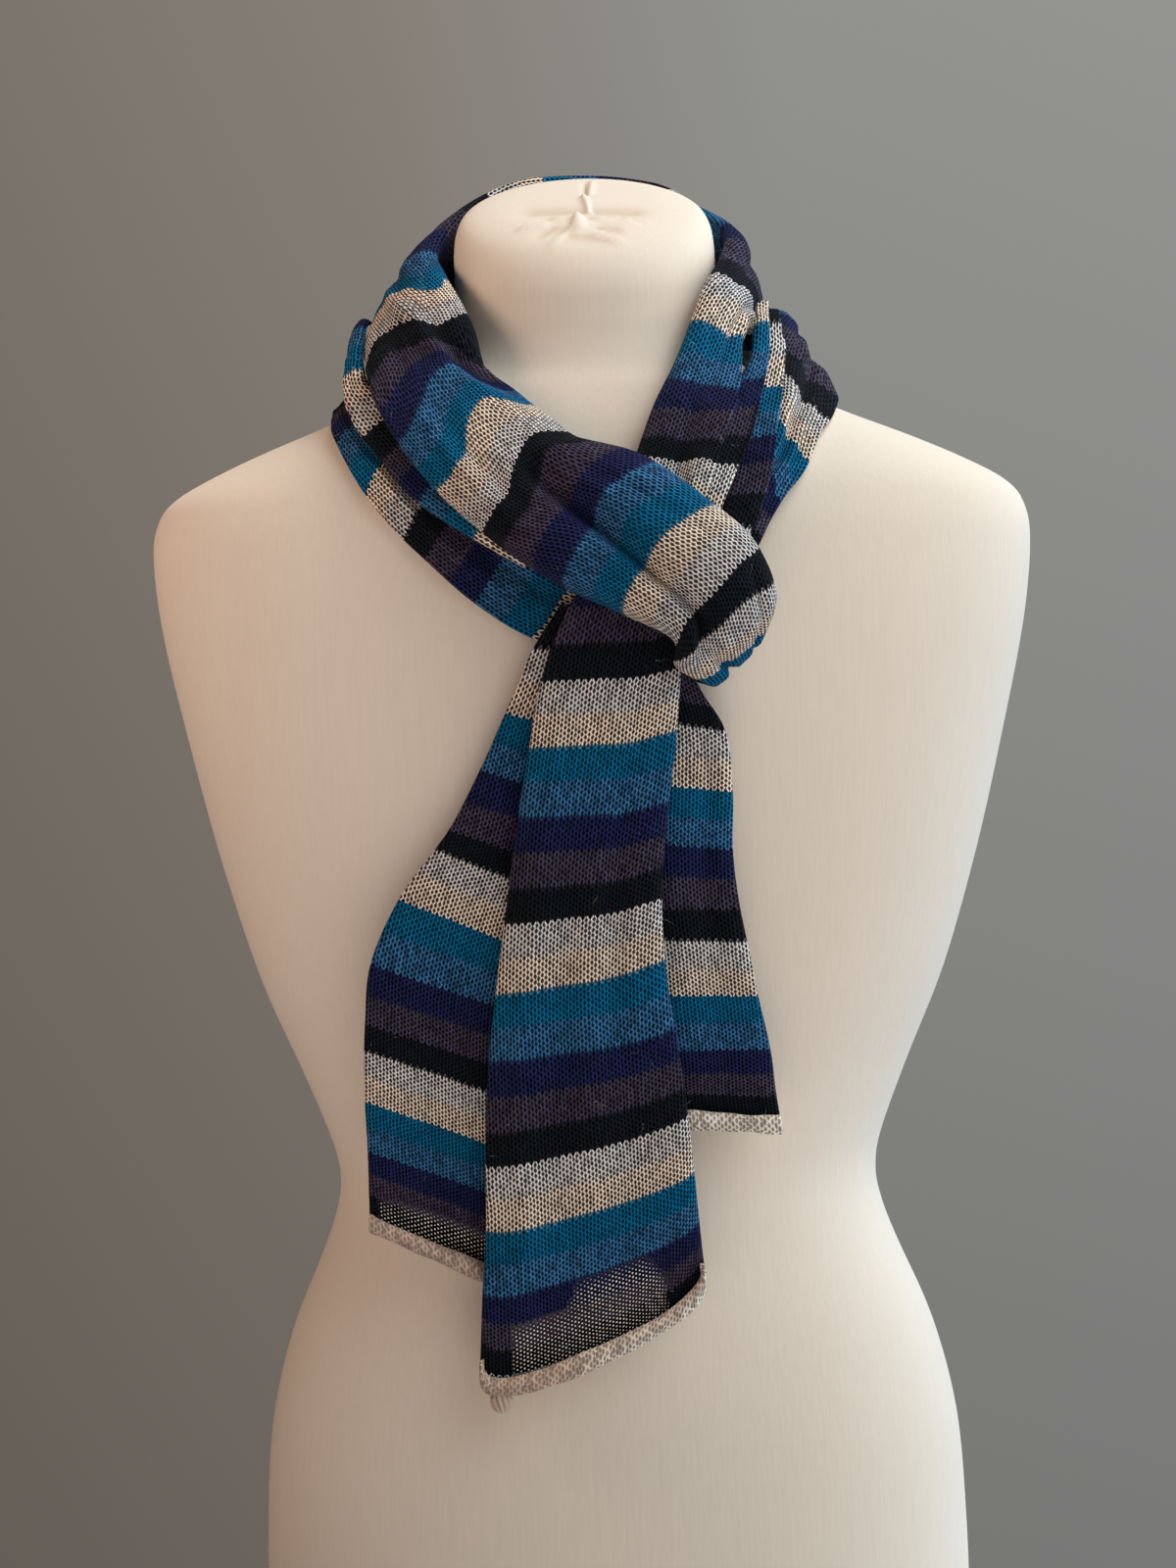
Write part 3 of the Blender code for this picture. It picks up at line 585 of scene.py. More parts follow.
# stripe, counted from the middle of the scarf towards a hem; x, y, z of the outer edge and of the inner
# edge, where the folded cloth is widest; how far it bulges in front of that line and behind it; and how
# far a stripe border bends along the scarf, where it does
neckRows = [
    (-5.5, 26, -97.5, 484, 38, -98, 510, 2, 2), (-4.5, 36, -98.5, 477, 50, -98.5, 504, 2.5, 2.5),
    (-3.5, 46, -102, 473, 62, -100, 498, 3, 3.5), (-2.5, 47, -110.5, 473, 68, -105, 495, 4, 4),
    (-1.5, 39, -118, 476, 71.5, -111, 501, 6.5, 4.5), (-0.5, 32.5, -124, 480.5, 72.5, -118, 512, 11, 4.5, 1),
    (0.5, 33, -125, 489, 66.5, -121, 527, 15, 4, 2), (2.5, 11.5, -124, 502, 48, -118, 546, 17, 4, 5),
    (4.5, -13, -121, 514, 22.5, -107, 565, 17, 4, 5), (6.5, -37, -113, 531, -4.5, -94, 574, 16, 4, 5),
    (7.5, -46, -108, 538.5, -13.5, -87, 581.5, 15, 4, 3), (9.5, -65, -96, 556.5, -28.5, -75, 595.5, 14, 4, 5),
    (11.5, -81.5, -80, 578.5, -39.5, -63, 604, 12, 4, 9), (12.5, -89, -68, 592.5, -44, -57, 610, 11, 4, 7),
    (13.5, -92, -51, 606, -48, -50, 627, 11, 4, -3), (14.5, -93.5, -33, 613, -52.5, -43, 638, 11, 4, -5),
    (16.5, -93.5, 2, 620, -61.5, -26, 656, 12, 4, -2), (18.5, -87, 34, 626, -66, 6, 672, 12, 4),
    (20.5, -66, 56, 635, -54, 38, 694, 8, 4), (22.5, -38, 70, 642, -33, 59, 709, 6, 4),
    (25, 0, 76, 645, 0, 67, 713.2, 5, 4), (27.5, 37, 70, 641, 32, 59, 707.8, 6, 4),
    (30.5, 62, 55, 632, 51, 40, 693, 8, 4), (33, 76, 34, 628, 64, 12, 678, 8, 4),
    (35, 73, 6, 631, 60, -19, 660, 6.5, 4), (36.5, 68, -24, 628, 52, -40, 646, 6, 4, 2),
    (37.5, 65.5, -41, 619, 46, -50, 631, 6, 4, 3), (38.5, 64, -53, 609, 40, -59, 616, 6.5, 4, 2),
    (40.5, 61, -74, 587, 28, -74, 591, 7.5, 4, 1), (42.5, 52, -89, 563, 19, -88.5, 567, 6, 4),
    (44.5, 46, -101, 541, 11, -101, 543, 4, 3), (46, 40, -108.5, 524, 3, -109, 526, 3.3, 2.5),
    (47.5, 36, -111, 505, -10, -111, 505, 3, 2.5), (49.5, 34, -111.5, 476, -22, -111.5, 475, 5, 3),
    (51.5, 31.5, -111, 450, -27.5, -111, 448, 6, 3), (53.5, 27.5, -110.5, 420.5, -33, -110.5, 420, 6, 3),
    (55.5, 24.5, -110, 394, -37.5, -110, 390.5, 6, 3), (58.5, 25, -109, 356.5, -44, -109, 347.5, 6, 3),
    (60.5, 28.5, -108, 329, -47.5, -108, 320.5, 5.5, 3, 1),
    (62.5, 31.5, -107, 306, -49.5, -107, 291.5, 5, 3, 2.5),
    (65.5, 34.5, -105.5, 272.5, -50.5, -105.5, 251.5, 4.5, 3, 4.5),
    (67.5, 36, -104.5, 253, -52.5, -104.5, 226.5, 4, 3, 7.5),
    (69.5, 37.2, -103.5, 238.5, -53.7, -103.5, 207, 3.5, 3, 12),
    (70.9, 38, -103, 231, -54.5, -103, 193.5, 3, 3, 14.5),
]
shoulderRows = [
    (5.5, 25, -97.5, 484, 37, -98, 510, 2, 2), (8, -2, -97.5, 486, 20, -98, 512, 2, 2),
    (9.5, -25, -97, 494, -4, -97.5, 520, 3, 2.5), (11.5, -49, -94, 509.5, -29, -93, 536, 4, 2.5),
    (13.5, -70, -89, 529, -50, -87, 553, 4, 2.5), (14.5, -80, -84.5, 539, -60, -82, 562, 4, 2.5),
    (16.5, -96, -74, 560, -77, -70, 579, 4.5, 2.5), (18.5, -107, -52, 582, -91, -53, 594, 4.5, 2.5),
    (20, -108.5, -32, 591, -95, -33, 601, 4.5, 3), (22, -107, -4, 596, -96, -6, 609, 5, 3),
    (24.5, -98, 36, 594, -90, 34, 628, 6, 4), (27, -74, 66, 592, -76, 62, 645, 6, 4),
    (29.5, -40, 79, 591, -42, 81, 653, 6, 4), (32, 0, 83, 591, 0, 87, 656, 6, 4),
    (34.5, 40, 79, 592, 42, 81, 654, 6, 4), (37, 72, 63, 597, 74, 60, 650, 6, 4),
    (39.5, 94, 34, 604, 88, 30, 643, 6, 4), (40.5, 100, 17, 605, 86, 13, 639, 6, 4),
    (41.5, 102, -2, 603, 81.5, -7, 629, 6, 4, 1), (42.5, 101, -21, 591, 74, -26, 614, 5.5, 3, 3),
    (43.5, 96, -40, 579.5, 72, -44, 598, 5, 3, 3), (44.5, 91, -54, 571, 70, -56, 585, 4.5, 3, 3),
    (45.5, 86, -67, 558, 66.5, -69, 570, 4, 2.5, 2), (46.5, 79, -79, 548.5, 61.5, -79, 558.5, 3.5, 2.5, 1),
    (47.5, 74, -88, 541, 58, -88, 548, 3, 2), (49, 67, -95.3, 528, 52, -95.9, 534, 2.5, 2),
    (50.5, 56, -101.1, 512, 42, -101.1, 517, 2, 1.5),
]
leftFoldRows = [
    (8, -28, -101.5, 523, -14, -101, 538, 2.5, 3), (9.5, -49, -98.5, 536, -34, -96, 551, 3, 6),
    (11.5, -72, -90.5, 552.5, -56, -88, 568, 3, 7), (13.5, -89, -76, 573, -75, -74, 586, 3.5, 7),
    (14.5, -96, -64, 584, -84, -64, 597, 3.5, 7), (15.5, -101.5, -46, 599, -95, -48, 606.5, 3, 5),
    (16.5, -103.5, -28, 614, -98.5, -29, 620.5, 2.5, 3), (17.5, -103.3, -10, 626.5, -98.3, -10, 632, 2, 2.5),
    (18.5, -102, 6, 635.5, -97.5, 6, 640.5, 2, 2), (19.5, -99.5, 20, 637.5, -95.7, 19, 641.5, 1.5, 2),
]
rightFoldRows = [
    (36.4, 79.5, -14, 641, 75, -17, 640, 1.5, 2), (37.5, 78.5, -31, 629, 73, -35, 628, 2, 2.5),
    (38.5, 77, -47, 614, 70, -51, 613, 2.5, 4), (39.5, 74, -58.5, 601, 63, -62.5, 600, 3, 7),
    (41.5, 66, -79, 574.5, 52, -83, 575, 3, 8), (43.5, 55, -97, 550, 43, -99, 550, 2.5, 5),
    (45.5, 44, -108, 524, 34, -109, 526, 2, 1.5),
]
rightPleatRows = [
    (35.4, 84, -2, 638.5, 80, -6, 637.5, 1.5, 2), (36.5, 84.5, -24, 619.5, 76, -29, 618.5, 2, 4),
    (37.5, 82, -42, 602, 69.5, -46, 602, 3, 7), (39.5, 77.5, -67, 577, 61.5, -70.5, 577, 3.5, 8),
    (41.5, 71.5, -86, 551, 55.5, -89.5, 551, 3, 6), (42.5, 66, -95.3, 536, 51, -96.8, 537, 2.5, 4),
    (44, 54, -102.5, 515, 42, -103, 518, 2, 1.5),
]
backLeftRows = [
    (48.5, 20, -103.5, 506, -13, -103.5, 507, 1.5, 1.5), (49.5, 17, -103.5, 488, -25, -104, 489, 2, 1.5),
    (50.5, 12, -103.5, 471, -30.5, -104, 476.5, 2.5, 2), (51.5, 6, -103, 452, -37, -103.5, 463, 3, 2),
    (53.5, 2, -102, 423, -48, -102, 440, 3, 2), (55.5, 0, -101.5, 393, -61.5, -101, 415.5, 3, 2),
    (56.5, -2, -101, 380, -67.5, -101, 407.5, 3, 2), (58.5, -3, -100, 354, -83, -99, 387.5, 3.5, 2),
    (60.5, -4, -99, 328, -95.5, -98, 361, 3.5, 2), (62.5, -5, -98, 304, -98.5, -97, 336.5, 3.5, 2),
    (65.5, -6, -95, 270, -99.5, -95.5, 304.5, 3.5, 2), (67.5, -7, -92.5, 250, -99, -94, 283.5, 3, 2),
    (69.5, -7.7, -90.5, 226, -99, -92.5, 265.5, 3, 2), (70.7, -8, -89, 212, -99, -91.5, 253.5, 2.5, 2),
]
backRightRows = [
    (53.5, 35, -103.5, 494, 21, -103.5, 497, 1.5, 1.5), (54.5, 40, -103.5, 476, 20, -104, 481, 2, 1.5),
    (56.5, 52, -102.5, 453.5, 17, -103, 459.5, 3, 2), (58.5, 54.5, -102, 428.5, 14, -102, 433.5, 3, 2),
    (60.5, 54, -101, 404.5, 12, -101, 409, 3, 2), (62.5, 56.5, -99.5, 380, 11, -100, 382, 3.5, 2),
    (63.5, 59, -98, 366.5, 11, -99, 369, 3.5, 2), (65.5, 63, -96.5, 344, 10, -98, 346, 3.5, 2),
    (67.5, 67.5, -94.5, 322, 9, -96, 323, 3.5, 2), (69.5, 69.8, -91.5, 302, 8, -93, 306, 3, 2),
    (70.8, 71.5, -90.5, 290, 8, -92, 296, 3, 2),
]

# first and last stripe, side at the first and at the last, width, height. The side goes from -1 at the
# outer edge to 1 at the inner one, and a negative height is a trough.
neckFolds = [
    (-1, 6.6, -0.66, 0.1, 0.15, -7), (5, 10.5, -0.45, -0.3, 0.18, -2.5), (8, 14.5, 0.95, 0.42, 0.17, -4.5),
    (11.5, 16.5, -0.5, -0.1, 0.2, -2.5), (16, 29, 0.4, 0.15, 0.17, -3.5), (18, 34, -0.25, -0.45, 0.15, -3),
    (26, 36, 0.5, 0.35, 0.14, -2.5), (-4.5, 0.6, -0.3, -0.5, 0.11, -3.2), (-4, 0.4, 0.35, 0.62, 0.1, -2.4),
    (34, 40, -0.45, -0.3, 0.18, -3), (38, 47, 0.1, -0.35, 0.2, -2.5), (47, 71, -0.45, -0.35, 0.18, -2.5),
    (50, 71, 0.15, 0.3, 0.2, -2), (52, 71, 0.65, 0.7, 0.14, 1.5),
    # and lesser creases
    (-0.8, 5.8, -0.68, 0, 0.06, -2.6), (3, 7.5, -0.3, 0.15, 0.22, -3), (-4.5, 0.3, -0.18, -0.36, 0.06, -1.6),
    (1, 6.5, 0.62, 0.25, 0.10, -1.4), (6.5, 12, -0.7, -0.45, 0.10, 1.2), (8, 14.2, 0.72, 0.16, 0.10, 1.6),
    (9.5, 15.5, -0.2, 0.1, 0.09, -1.5), (12.5, 18.5, 0.35, 0.1, 0.10, 1.4), (48, 56, 0.45, 0.3, 0.10, -1.2),
    (54, 64, -0.1, -0.05, 0.12, 1), (58, 70, -0.72, -0.6, 0.10, -1.1), (63, 71, 0.4, 0.5, 0.10, -1),
]
shoulderFolds = [
    (8, 21, 0.2, -0.15, 0.22, -2.5), (20, 36, 0.45, 0.1, 0.16, -4), (21, 43, -0.4, -0.2, 0.15, -3.5),
    (31, 42, 0.55, 0.4, 0.14, -3), (41, 47.5, -0.25, 0.1, 0.2, -3.5), (10, 17, -0.45, -0.3, 0.14, 1.1),
    (24, 31, 0.05, 0.2, 0.10, 1.6), (29, 38, -0.65, -0.6, 0.10, -1.8),
]
backLeftFolds = [
    (54, 71, 0.2, 0.45, 0.2, -1.8), (57, 70, -0.2, -0.1, 0.16, 1), (60, 71, 0.7, 0.75, 0.1, -0.9),
]
backRightFolds = [
    (56, 71, -0.55, -0.3, 0.2, -1.8), (58, 70, 0.1, 0.2, 0.16, 0.9),
]

# stripe, then how far it slips along the folded cloth, in stripes, at seven places across it; a row
# that ends early goes on with its last value
slipSides = (-0.55, -0.27, -0.12, 0.03, 0.16, 0.30, 0.55)
neckSlips = [
    (-5.5, -0.6), (-2.5, -0.8), (-0.8, -0.75, -0.65, -0.65, -0.75, -0.65, -0.5),
    (-0.2, -0.1, -0.15, -0.25, -0.4, -0.3, -0.15, -0.1), (0.5, 0.1, -0.2, -0.15, -0.1, -0.1, 0),
    (2, 0.1, 0.1, 0.1, 0.1, 0.2, 0.3), (4, 0.1, 0.35, 0.4, 0.15, 0.35, 0.5),
    (5, 0.2, 0.4, 0.5, 0.45, 0.5, 0.65), (6, 0.15, 0.65, 0.8, 0.4, 0.3, 0.8),
    (7, 0.2, 0.85, 0.95, 0.35, 0.35, 0.8, 0.9), (8.5, 0.25, 0.7, 0.7, 0.15, 0.3, 1, 1.1),
    (9.5, 0.3, 0.85, 0.8, 0.1, 0.2, 1.8, 1.9), (10.5, 0.45, 0.85, 0.7, 0.3, 0.2, 2.05, 2.1),
    (11.5, 0.45, 0.75, 0.5, -0.1, 0, 1.7, 1.8), (12.5, 0.45, 0.3, 0.1, -0.35, 0.2, 1.1, 1),
    (13.5, 0.5, 0, -0.3, 0.05, 0.4, 0.6, 0.2), (14.5, 0.4, -0.2, -0.5, -0.1, 0.7, 0.8, 0.4),
    (15.5, 0.3, -0.4, -0.6, -0.6, 0.5, 1.2, 0.5), (16.5, 0.3, -0.2, -0.4, -0.4, 0.3, 1.1, 0.4),
    (17.5, 0.3, 0.2, 0.1, 0.2, 0.4, 0.7, 0.5), (18.5, 0.2, 0.2, 0.2, 0.2, 0.25), (20.5, 0),
    (34, 0, 0, 0, 0, 0, -0.1, -0.3), (35.5, 0.5, 0.7, 0.6, 0.2, -0.3, -0.5, -0.6),
    (36.5, 0.5, 0.5, 0.3, 0, -0.3, -0.35, -0.45), (37.5, 0.1, 0.2, 0, -0.1, -0.1, -0.1, -0.15),
    (38.8, -0.35, -0.3, -0.25), (40, -0.5, -0.4, -0.35, -0.3, -0.3, -0.25, -0.15), (41, -0.4, -0.4, -0.38),
    (42, -0.5, -0.45, -0.4, -0.38, -0.38, -0.35, -0.3), (42.8, -0.3, -0.2, -0.15, -0.1, -0.1, 0, 0.1),
    (44, -0.2, -0.1, 0), (46, 0), (70.9, 0),
]
shoulderSlips = [
    (5.5, 0), (13, 0.1, 0.1, 0.1, 0), (16, 0.4, 0.3, 0.2, 0.1), (19, 0.4, 0.35, 0.3, 0.2, 0.1), (23, 0),
    (37, 0, 0, 0, 0, -0.1), (39, 0, 0, 0, 0, -0.3, -0.8), (40.5, -0.2, -0.2, -0.1, 0, -0.4, -0.9),
    (42, -0.9, -0.8, -0.7, -0.6, -0.5, -0.4, -0.3), (43.2, -1.2, -1.1, -0.9, -0.7, -0.2, -0.1),
    (44.2, -1.2, -1.05, -0.6, -0.45, -0.12, -0.1), (45.1, -0.8, -0.6, -0.35, -0.2, 0),
    (46.1, -0.6, -0.3, 0.2), (47.2, -0.1, 0, 0.2), (50.5, 0),
]
leftFoldSlips = [
    (8, 0), (11.5, 0.1), (13, 0.3, 0.4), (16, 0.4, 0.45, 0.45, 0.5), (19.5, 0.5),
]
rightPleatSlips = [
    (35.4, -0.3), (39, -0.5), (40.8, -0.25), (44, 0),
]

# turns: how far round the cloth wraps at each stripe, in degrees each way from the crest.
# down is 1 where a course's closed end points along the scarf, and -1 on the other half.
Strand = namedtuple("Strand", "rows turns folds slips columns down hemRadius")
hemTurns = (66, 158), (69.5, 112)
strands = {
    "neck": Strand(neckRows, [(-5.5, 158), (34, 158), (37, 150), (45, 150), (48, 158), *hemTurns,
                              (70.9, 104)], neckFolds, neckSlips, 76, 1, 3.9),
    "shoulder": Strand(shoulderRows, [(5.5, 150), (40, 150), (43, 120), (50.5, 120)],
                       shoulderFolds, shoulderSlips, 72, -1, 0),
    "leftFold": Strand(leftFoldRows, [(8, 115), (20, 115)], [], leftFoldSlips, 30, 1, 0),
    "rightPleat": Strand(rightPleatRows, [(35, 115), (44, 115)], [], rightPleatSlips, 30, -1, 0),
    "rightFold": Strand(rightFoldRows, [(36, 115), (46, 115)], [], [], 30, 1, 0),
    "backLeft": Strand(backLeftRows, [(48, 158), *hemTurns, (70.7, 104)], backLeftFolds, [], 60, -1, 3.6),
    "backRight": Strand(backRightRows, [(53, 158), *hemTurns, (70.8, 104)], backRightFolds, [], 48, -1, 3.6),
}

# each stretch that shows, from the lowest layer to the topmost, and what it lies on over which stripes
Layer = namedtuple("Layer", "name node strand first last lies")
layers = [
    Layer("leftLowerBand", "left_lower", "shoulder", 5.5, 21.0, {"dress_form": (5, 21)}),
    Layer("leftFoldStrip", "left_fold", "leftFold", 8.0, 19.5,
          {"dress_form": (8, 20), "left_lower": (8, 20)}),
    Layer("knotTurn", "knot_turn", "neck", -5.5, 0.0, {}),
    Layer("backTailLeft", "back_tail_left", "backLeft", 48.5, 70.7, {"left_lower": (48, 52)}),
    Layer("backTailRight", "back_tail_right", "backRight", 53.5, 70.8, {"left_lower": (53, 56)}),
    Layer("napeInnerCollar", "nape_inner", "neck", 16.0, 35.0, {"dress_form": (16, 35)}),
    Layer("napeOuterCollar", "nape_outer", "shoulder", 21.0, 41.0,
          {"dress_form": (21, 41), "left_fold": (21, 26), "nape_inner": (23, 38)}),
    Layer("rightOuterBand", "right_outer", "shoulder", 41.0, 50.5, {"dress_form": (41, 50)}),
    Layer("rightPleatStrip", "right_pleat", "rightPleat", 35.4, 44.0,
          {"dress_form": (36, 44), "right_outer": (36, 44)}),
    Layer("rightFoldStrip", "right_fold", "rightFold", 36.4, 45.5,
          {"dress_form": (36, 45), "right_pleat": (36, 45)}),
    Layer("rightInnerBand", "right_inner", "neck", 35.0, 46.0,
          {"dress_form": (35, 46), "right_pleat": (38.8, 46), "right_fold": (38.3, 46)}),
    Layer("frontTail", "front_tail", "neck", 46.0, 70.9,
          {"back_tail_left": (46, 71), "back_tail_right": (46, 71)}),
    Layer("mainBand", "main_band", "neck", 0.0, 16.0,
          {"dress_form": (0, 16), "left_lower": (0, 13.5), "left_fold": (0, 13), "front_tail": (0, 9),
           "right_inner": (0, 9), "right_fold": (0, 6), "right_pleat": (0, 6), "right_outer": (0, 6)}),
]
# rays from this far outside a layer, and this long, find what it lies on
rayStart, rayLength = 60.0, 90.0
coarseStep, coarseColumns = 0.5, 20
coarsePlay = 0.3          # a wall counts as this much thicker while the next layer is laid on it


def rounded(wave):
    return np.sign(wave) * np.abs(wave) ** scarf["roundness"]


def foldHeight(folds, stripe, side):
    height = np.zeros(np.broadcast(stripe, side).shape)
    for first, last, sideFirst, sideLast, width, rise in folds:
        along = np.clip((stripe - first) / (last - first), 0, 1)
        centre = sideFirst + (sideLast - sideFirst) * along
        height += rise * np.sin(math.pi * along) ** 0.5 * np.exp(-(((side - centre) / width) ** 2))
    return height


def sectionSheet(strand, stripe, columns):
    # the middle of the wall before it is lifted over what lies beneath
    rows = np.array([(*row, 0)[:10] for row in strand.rows], float)
    places, sizes = rows[:, 0], rows[:, 1:]
    read = smoothCurve(places, sizes, stripe)
    nudge = 0.2      # stripes, to find which way the cloth runs
    ahead, behind = np.minimum(stripe + nudge, places[-1]), np.maximum(stripe - nudge, places[0])
    step = smoothCurve(places, sizes, ahead) - smoothCurve(places, sizes, behind)
    outer, inner, crown, under, bow = np.split(read, (3, 6, 7, 8), axis=1)
    half, centre = (inner - outer) / 2, (inner + outer) / 2
    travel = unit(step[:, 0:3] + step[:, 3:6])
    out = unit(np.cross(half, travel))
    turn = np.interp(stripe, *np.array(strand.turns, float).T)
    angle = np.radians(turn[:, None] * np.linspace(-1, 1, columns + 1)[None, :])
    side, lift = rounded(np.sin(angle)), rounded(np.cos(angle))
    front = np.clip(lift, 0, None)
    bulge = crown * front + under * np.clip(lift, None, 0)
    bulge = bulge + foldHeight(strand.folds, stripe[:, None], side) * front ** 0.5
    sheet = centre[:, None] + half[:, None] * side[..., None] + out[:, None] * bulge[..., None]
    sheet = sheet + travel[:, None] * (bow * front)[..., None]
    return sheet, out, travel, side, lift


def neighbours(grid, take):
    padded = np.pad(grid, 1, mode="edge")
    rows, columns = grid.shape
    shifts = [padded[row:row + rows, column:column + columns] for row in range(3) for column in range(3)]
    return take(shifts, axis=0)


def liftOver(layer, stripe, sheet, out, lift, trees):
    lowest, highest = lift.min(axis=1, keepdims=True), lift.max(axis=1, keepdims=True)
    share = (lift - lowest) / (highest - lowest)
    clearance = scarf["backClearance"] + (scarf["frontClearance"] - scarf["backClearance"]) * share
    need = np.zeros(sheet.shape[:2])
    for node, (first, last) in layer.lies.items():
        for row in np.nonzero((stripe >= first) & (stripe <= last))[0]:
            for column, point in enumerate(sheet[row]):
                start = Vector(point + out[row] * rayStart)
                depth = trees[node].ray_cast(start, Vector(-out[row]), rayLength)[3]
                if depth is not None:
                    need[row, column] = max(need[row, column], clearance[row, column] + rayStart - depth)
    wide = neighbours(need, np.max)
    return np.maximum(wide, neighbours(wide, np.mean))


def wallMesh(grid, normals, thickness):
    # outer face, inner face and the rim between them
    rows, columns = grid.shape[:2]
    count, step = rows * columns, normals * thickness / 2
    points = np.concatenate([(grid + step).reshape(-1, 3), (grid - step).reshape(-1, 3)])
    order = np.arange(count).reshape(rows, columns)
    rim = np.concatenate([order[0], order[1:, -1], order[-1, -2::-1], order[-2:0:-1, 0]]).tolist()
    faces = gridFaces(rows, columns) + gridFaces(rows, columns, count, flipped=True)
    faces += [[there, here, here + count, there + count] for here, there in zip(rim, rim[1:] + rim[:1])]
    return points, faces


def coarseLifts(trees):
    # every layer in turn is raised clear of those below it
    found = {name: [] for name in strands}
    for layer in layers:
        steps = max(2, round((layer.last - layer.first) / coarseStep))
        stripe = np.linspace(layer.first, layer.last, steps + 1)
        sheet, out, _, _, lift = sectionSheet(strands[layer.strand], stripe, coarseColumns)
        raised = liftOver(layer, stripe, sheet, out, lift, trees)
        sheet = sheet + out[:, None] * raised[..., None]
        points, faces = wallMesh(sheet, gridNormals(sheet), scarf["wall"] + coarsePlay)
        trees[layer.node] = BVHTree.FromPolygons(points.tolist(), faces)
        found[layer.strand].append((stripe, raised))
    return found


def padRows(grid):
    return np.pad(grid, ((1, 1), (0, 0)), mode="edge")


def joinLifts(found):
    # one table of lifts for the whole strand, with the rows at a shared end averaged
    found = sorted(found, key=lambda pair: pair[0][0])
    stripe, lifts = found[0]
    for nextStripe, nextLifts in found[1:]:
        shared = (lifts[-1] + nextLifts[0]) / 2
        stripe = np.concatenate([stripe, nextStripe[1:]])
        lifts = np.concatenate([lifts[:-1], shared[None], nextLifts[1:]])
    for _ in range(3):
        padded = padRows(lifts)
        lifts = np.maximum(lifts * 0.5 + padded[:-2] * 0.25 + padded[2:] * 0.25, np.minimum(lifts, 0))
    return stripe, lifts


creaseWaves = makeWaves(7, 16, 42)
stitchWaves = makeWaves(11, 6, 12)
hemRoll = {
    "angle": 285.0,
    "steps": 22,
    "tighter": 0.12,          # how much smaller its radius is at the end
}


def hemRows(strand, grid, travel, side):
    # the cloth carries on past its last section and curls up in front, unevenly
    last, previous = grid[-1], grid[-2]
    onward = unit(unit(last - previous) * 0.4 + travel[-1] * 0.6)
    forward = np.array((0.0, -1.0, 0.0))
    radius = strand.hemRadius * (1 + 0.10 * np.sin(side * 5.0 + 1.2) + 0.06 * np.sin(side * 13.0))
    rows = []
    for step in range(1, hemRoll["steps"] + 1):
        angle = math.radians(hemRoll["angle"]) * step / hemRoll["steps"]
        reach = radius * (1 - hemRoll["tighter"] * step / hemRoll["steps"])
        down, up = reach * math.sin(angle), reach * (1 - math.cos(angle))
        rows.append(last + onward * down[:, None] + forward * up[:, None])
    return np.array(rows)


def slipOf(strand, stripe):
    if not strand.slips:
        return np.zeros((len(stripe), strand.columns + 1))
    slips = np.array([(*row, *row[-1:] * 7)[:8] for row in strand.slips], float)
    read = smoothCurve(slips[:, 0], slips[:, 1:], np.clip(stripe, slips[0, 0], slips[-1, 0]))
    side = np.clip(np.linspace(-1, 1, strand.columns + 1), slipSides[0], slipSides[-1])
    return smoothCurve(slipSides, read.T, side).T


def walesAcross(sheet):
    # wales are counted outwards from the middle of the strand
    width = np.linalg.norm(np.diff(sheet, axis=1), axis=-1)
    for _ in range(30):
        padded = padRows(width)
        width = (padded[:-2] + padded[1:-1] + padded[2:]) / 3
    across = np.concatenate([np.zeros((len(sheet), 1)), width.cumsum(axis=1)], axis=1)
    middle = across.shape[1] // 2
    return (across - across[:, middle:middle + 1]) / scarf["waleWidth"]


def fineStrand(name, found):
    strand, perStripe = strands[name], scarf["coursesInStripe"]
    own = sorted([layer for layer in layers if layer.strand == name], key=lambda layer: layer.first)
    stripe, parts = np.array([own[0].first]), {}
    for layer in own:
        count = max(2, round((layer.last - layer.first) * scarf["rowsInStripe"]))
        parts[layer.name] = slice(len(stripe) - 1, len(stripe) + count)
        stripe = np.concatenate([stripe, np.linspace(layer.first, layer.last, count + 1)[1:]])
    sheet, out, travel, side, lift = sectionSheet(strand, stripe, strand.columns)
    coarseStripe, lifts = joinLifts(found)
    coarse, fine = np.linspace(-1, 1, coarseColumns + 1), np.linspace(-1, 1, strand.columns + 1)
    lifts = smoothCurve(coarse, smoothCurve(coarseStripe, lifts, stripe).T, fine).T
    rough = unevenness(sheet, creaseWaves) * scarf["unevenness"]
    rough = rough + unevenness(sheet, stitchWaves) * scarf["unevenness"] * scarf["fineUnevenness"]
    sheet = sheet + out[:, None] * (lifts + rough * np.clip(lift + 0.3, 0, 1))[..., None]
    courses = stripe * perStripe
    if strand.hemRadius:
        sheet = np.concatenate([sheet, hemRows(strand, sheet, travel, side[-1])])
        rolled = np.linalg.norm(np.diff(sheet[len(stripe) - 1:], axis=0), axis=-1).mean(axis=1).cumsum()
        courses = np.concatenate([courses, courses[-1] + rolled / scarf["stripeWidth"] * perStripe])
        parts[own[-1].name] = slice(parts[own[-1].name].start, None)
    down = strand.down * (courses[:, None] + slipOf(strand, courses / perStripe) * perStripe)
    stitches = np.stack([walesAcross(sheet) + 0.5, down], axis=-1)
    return sheet, gridNormals(sheet), stitches, courses, parts


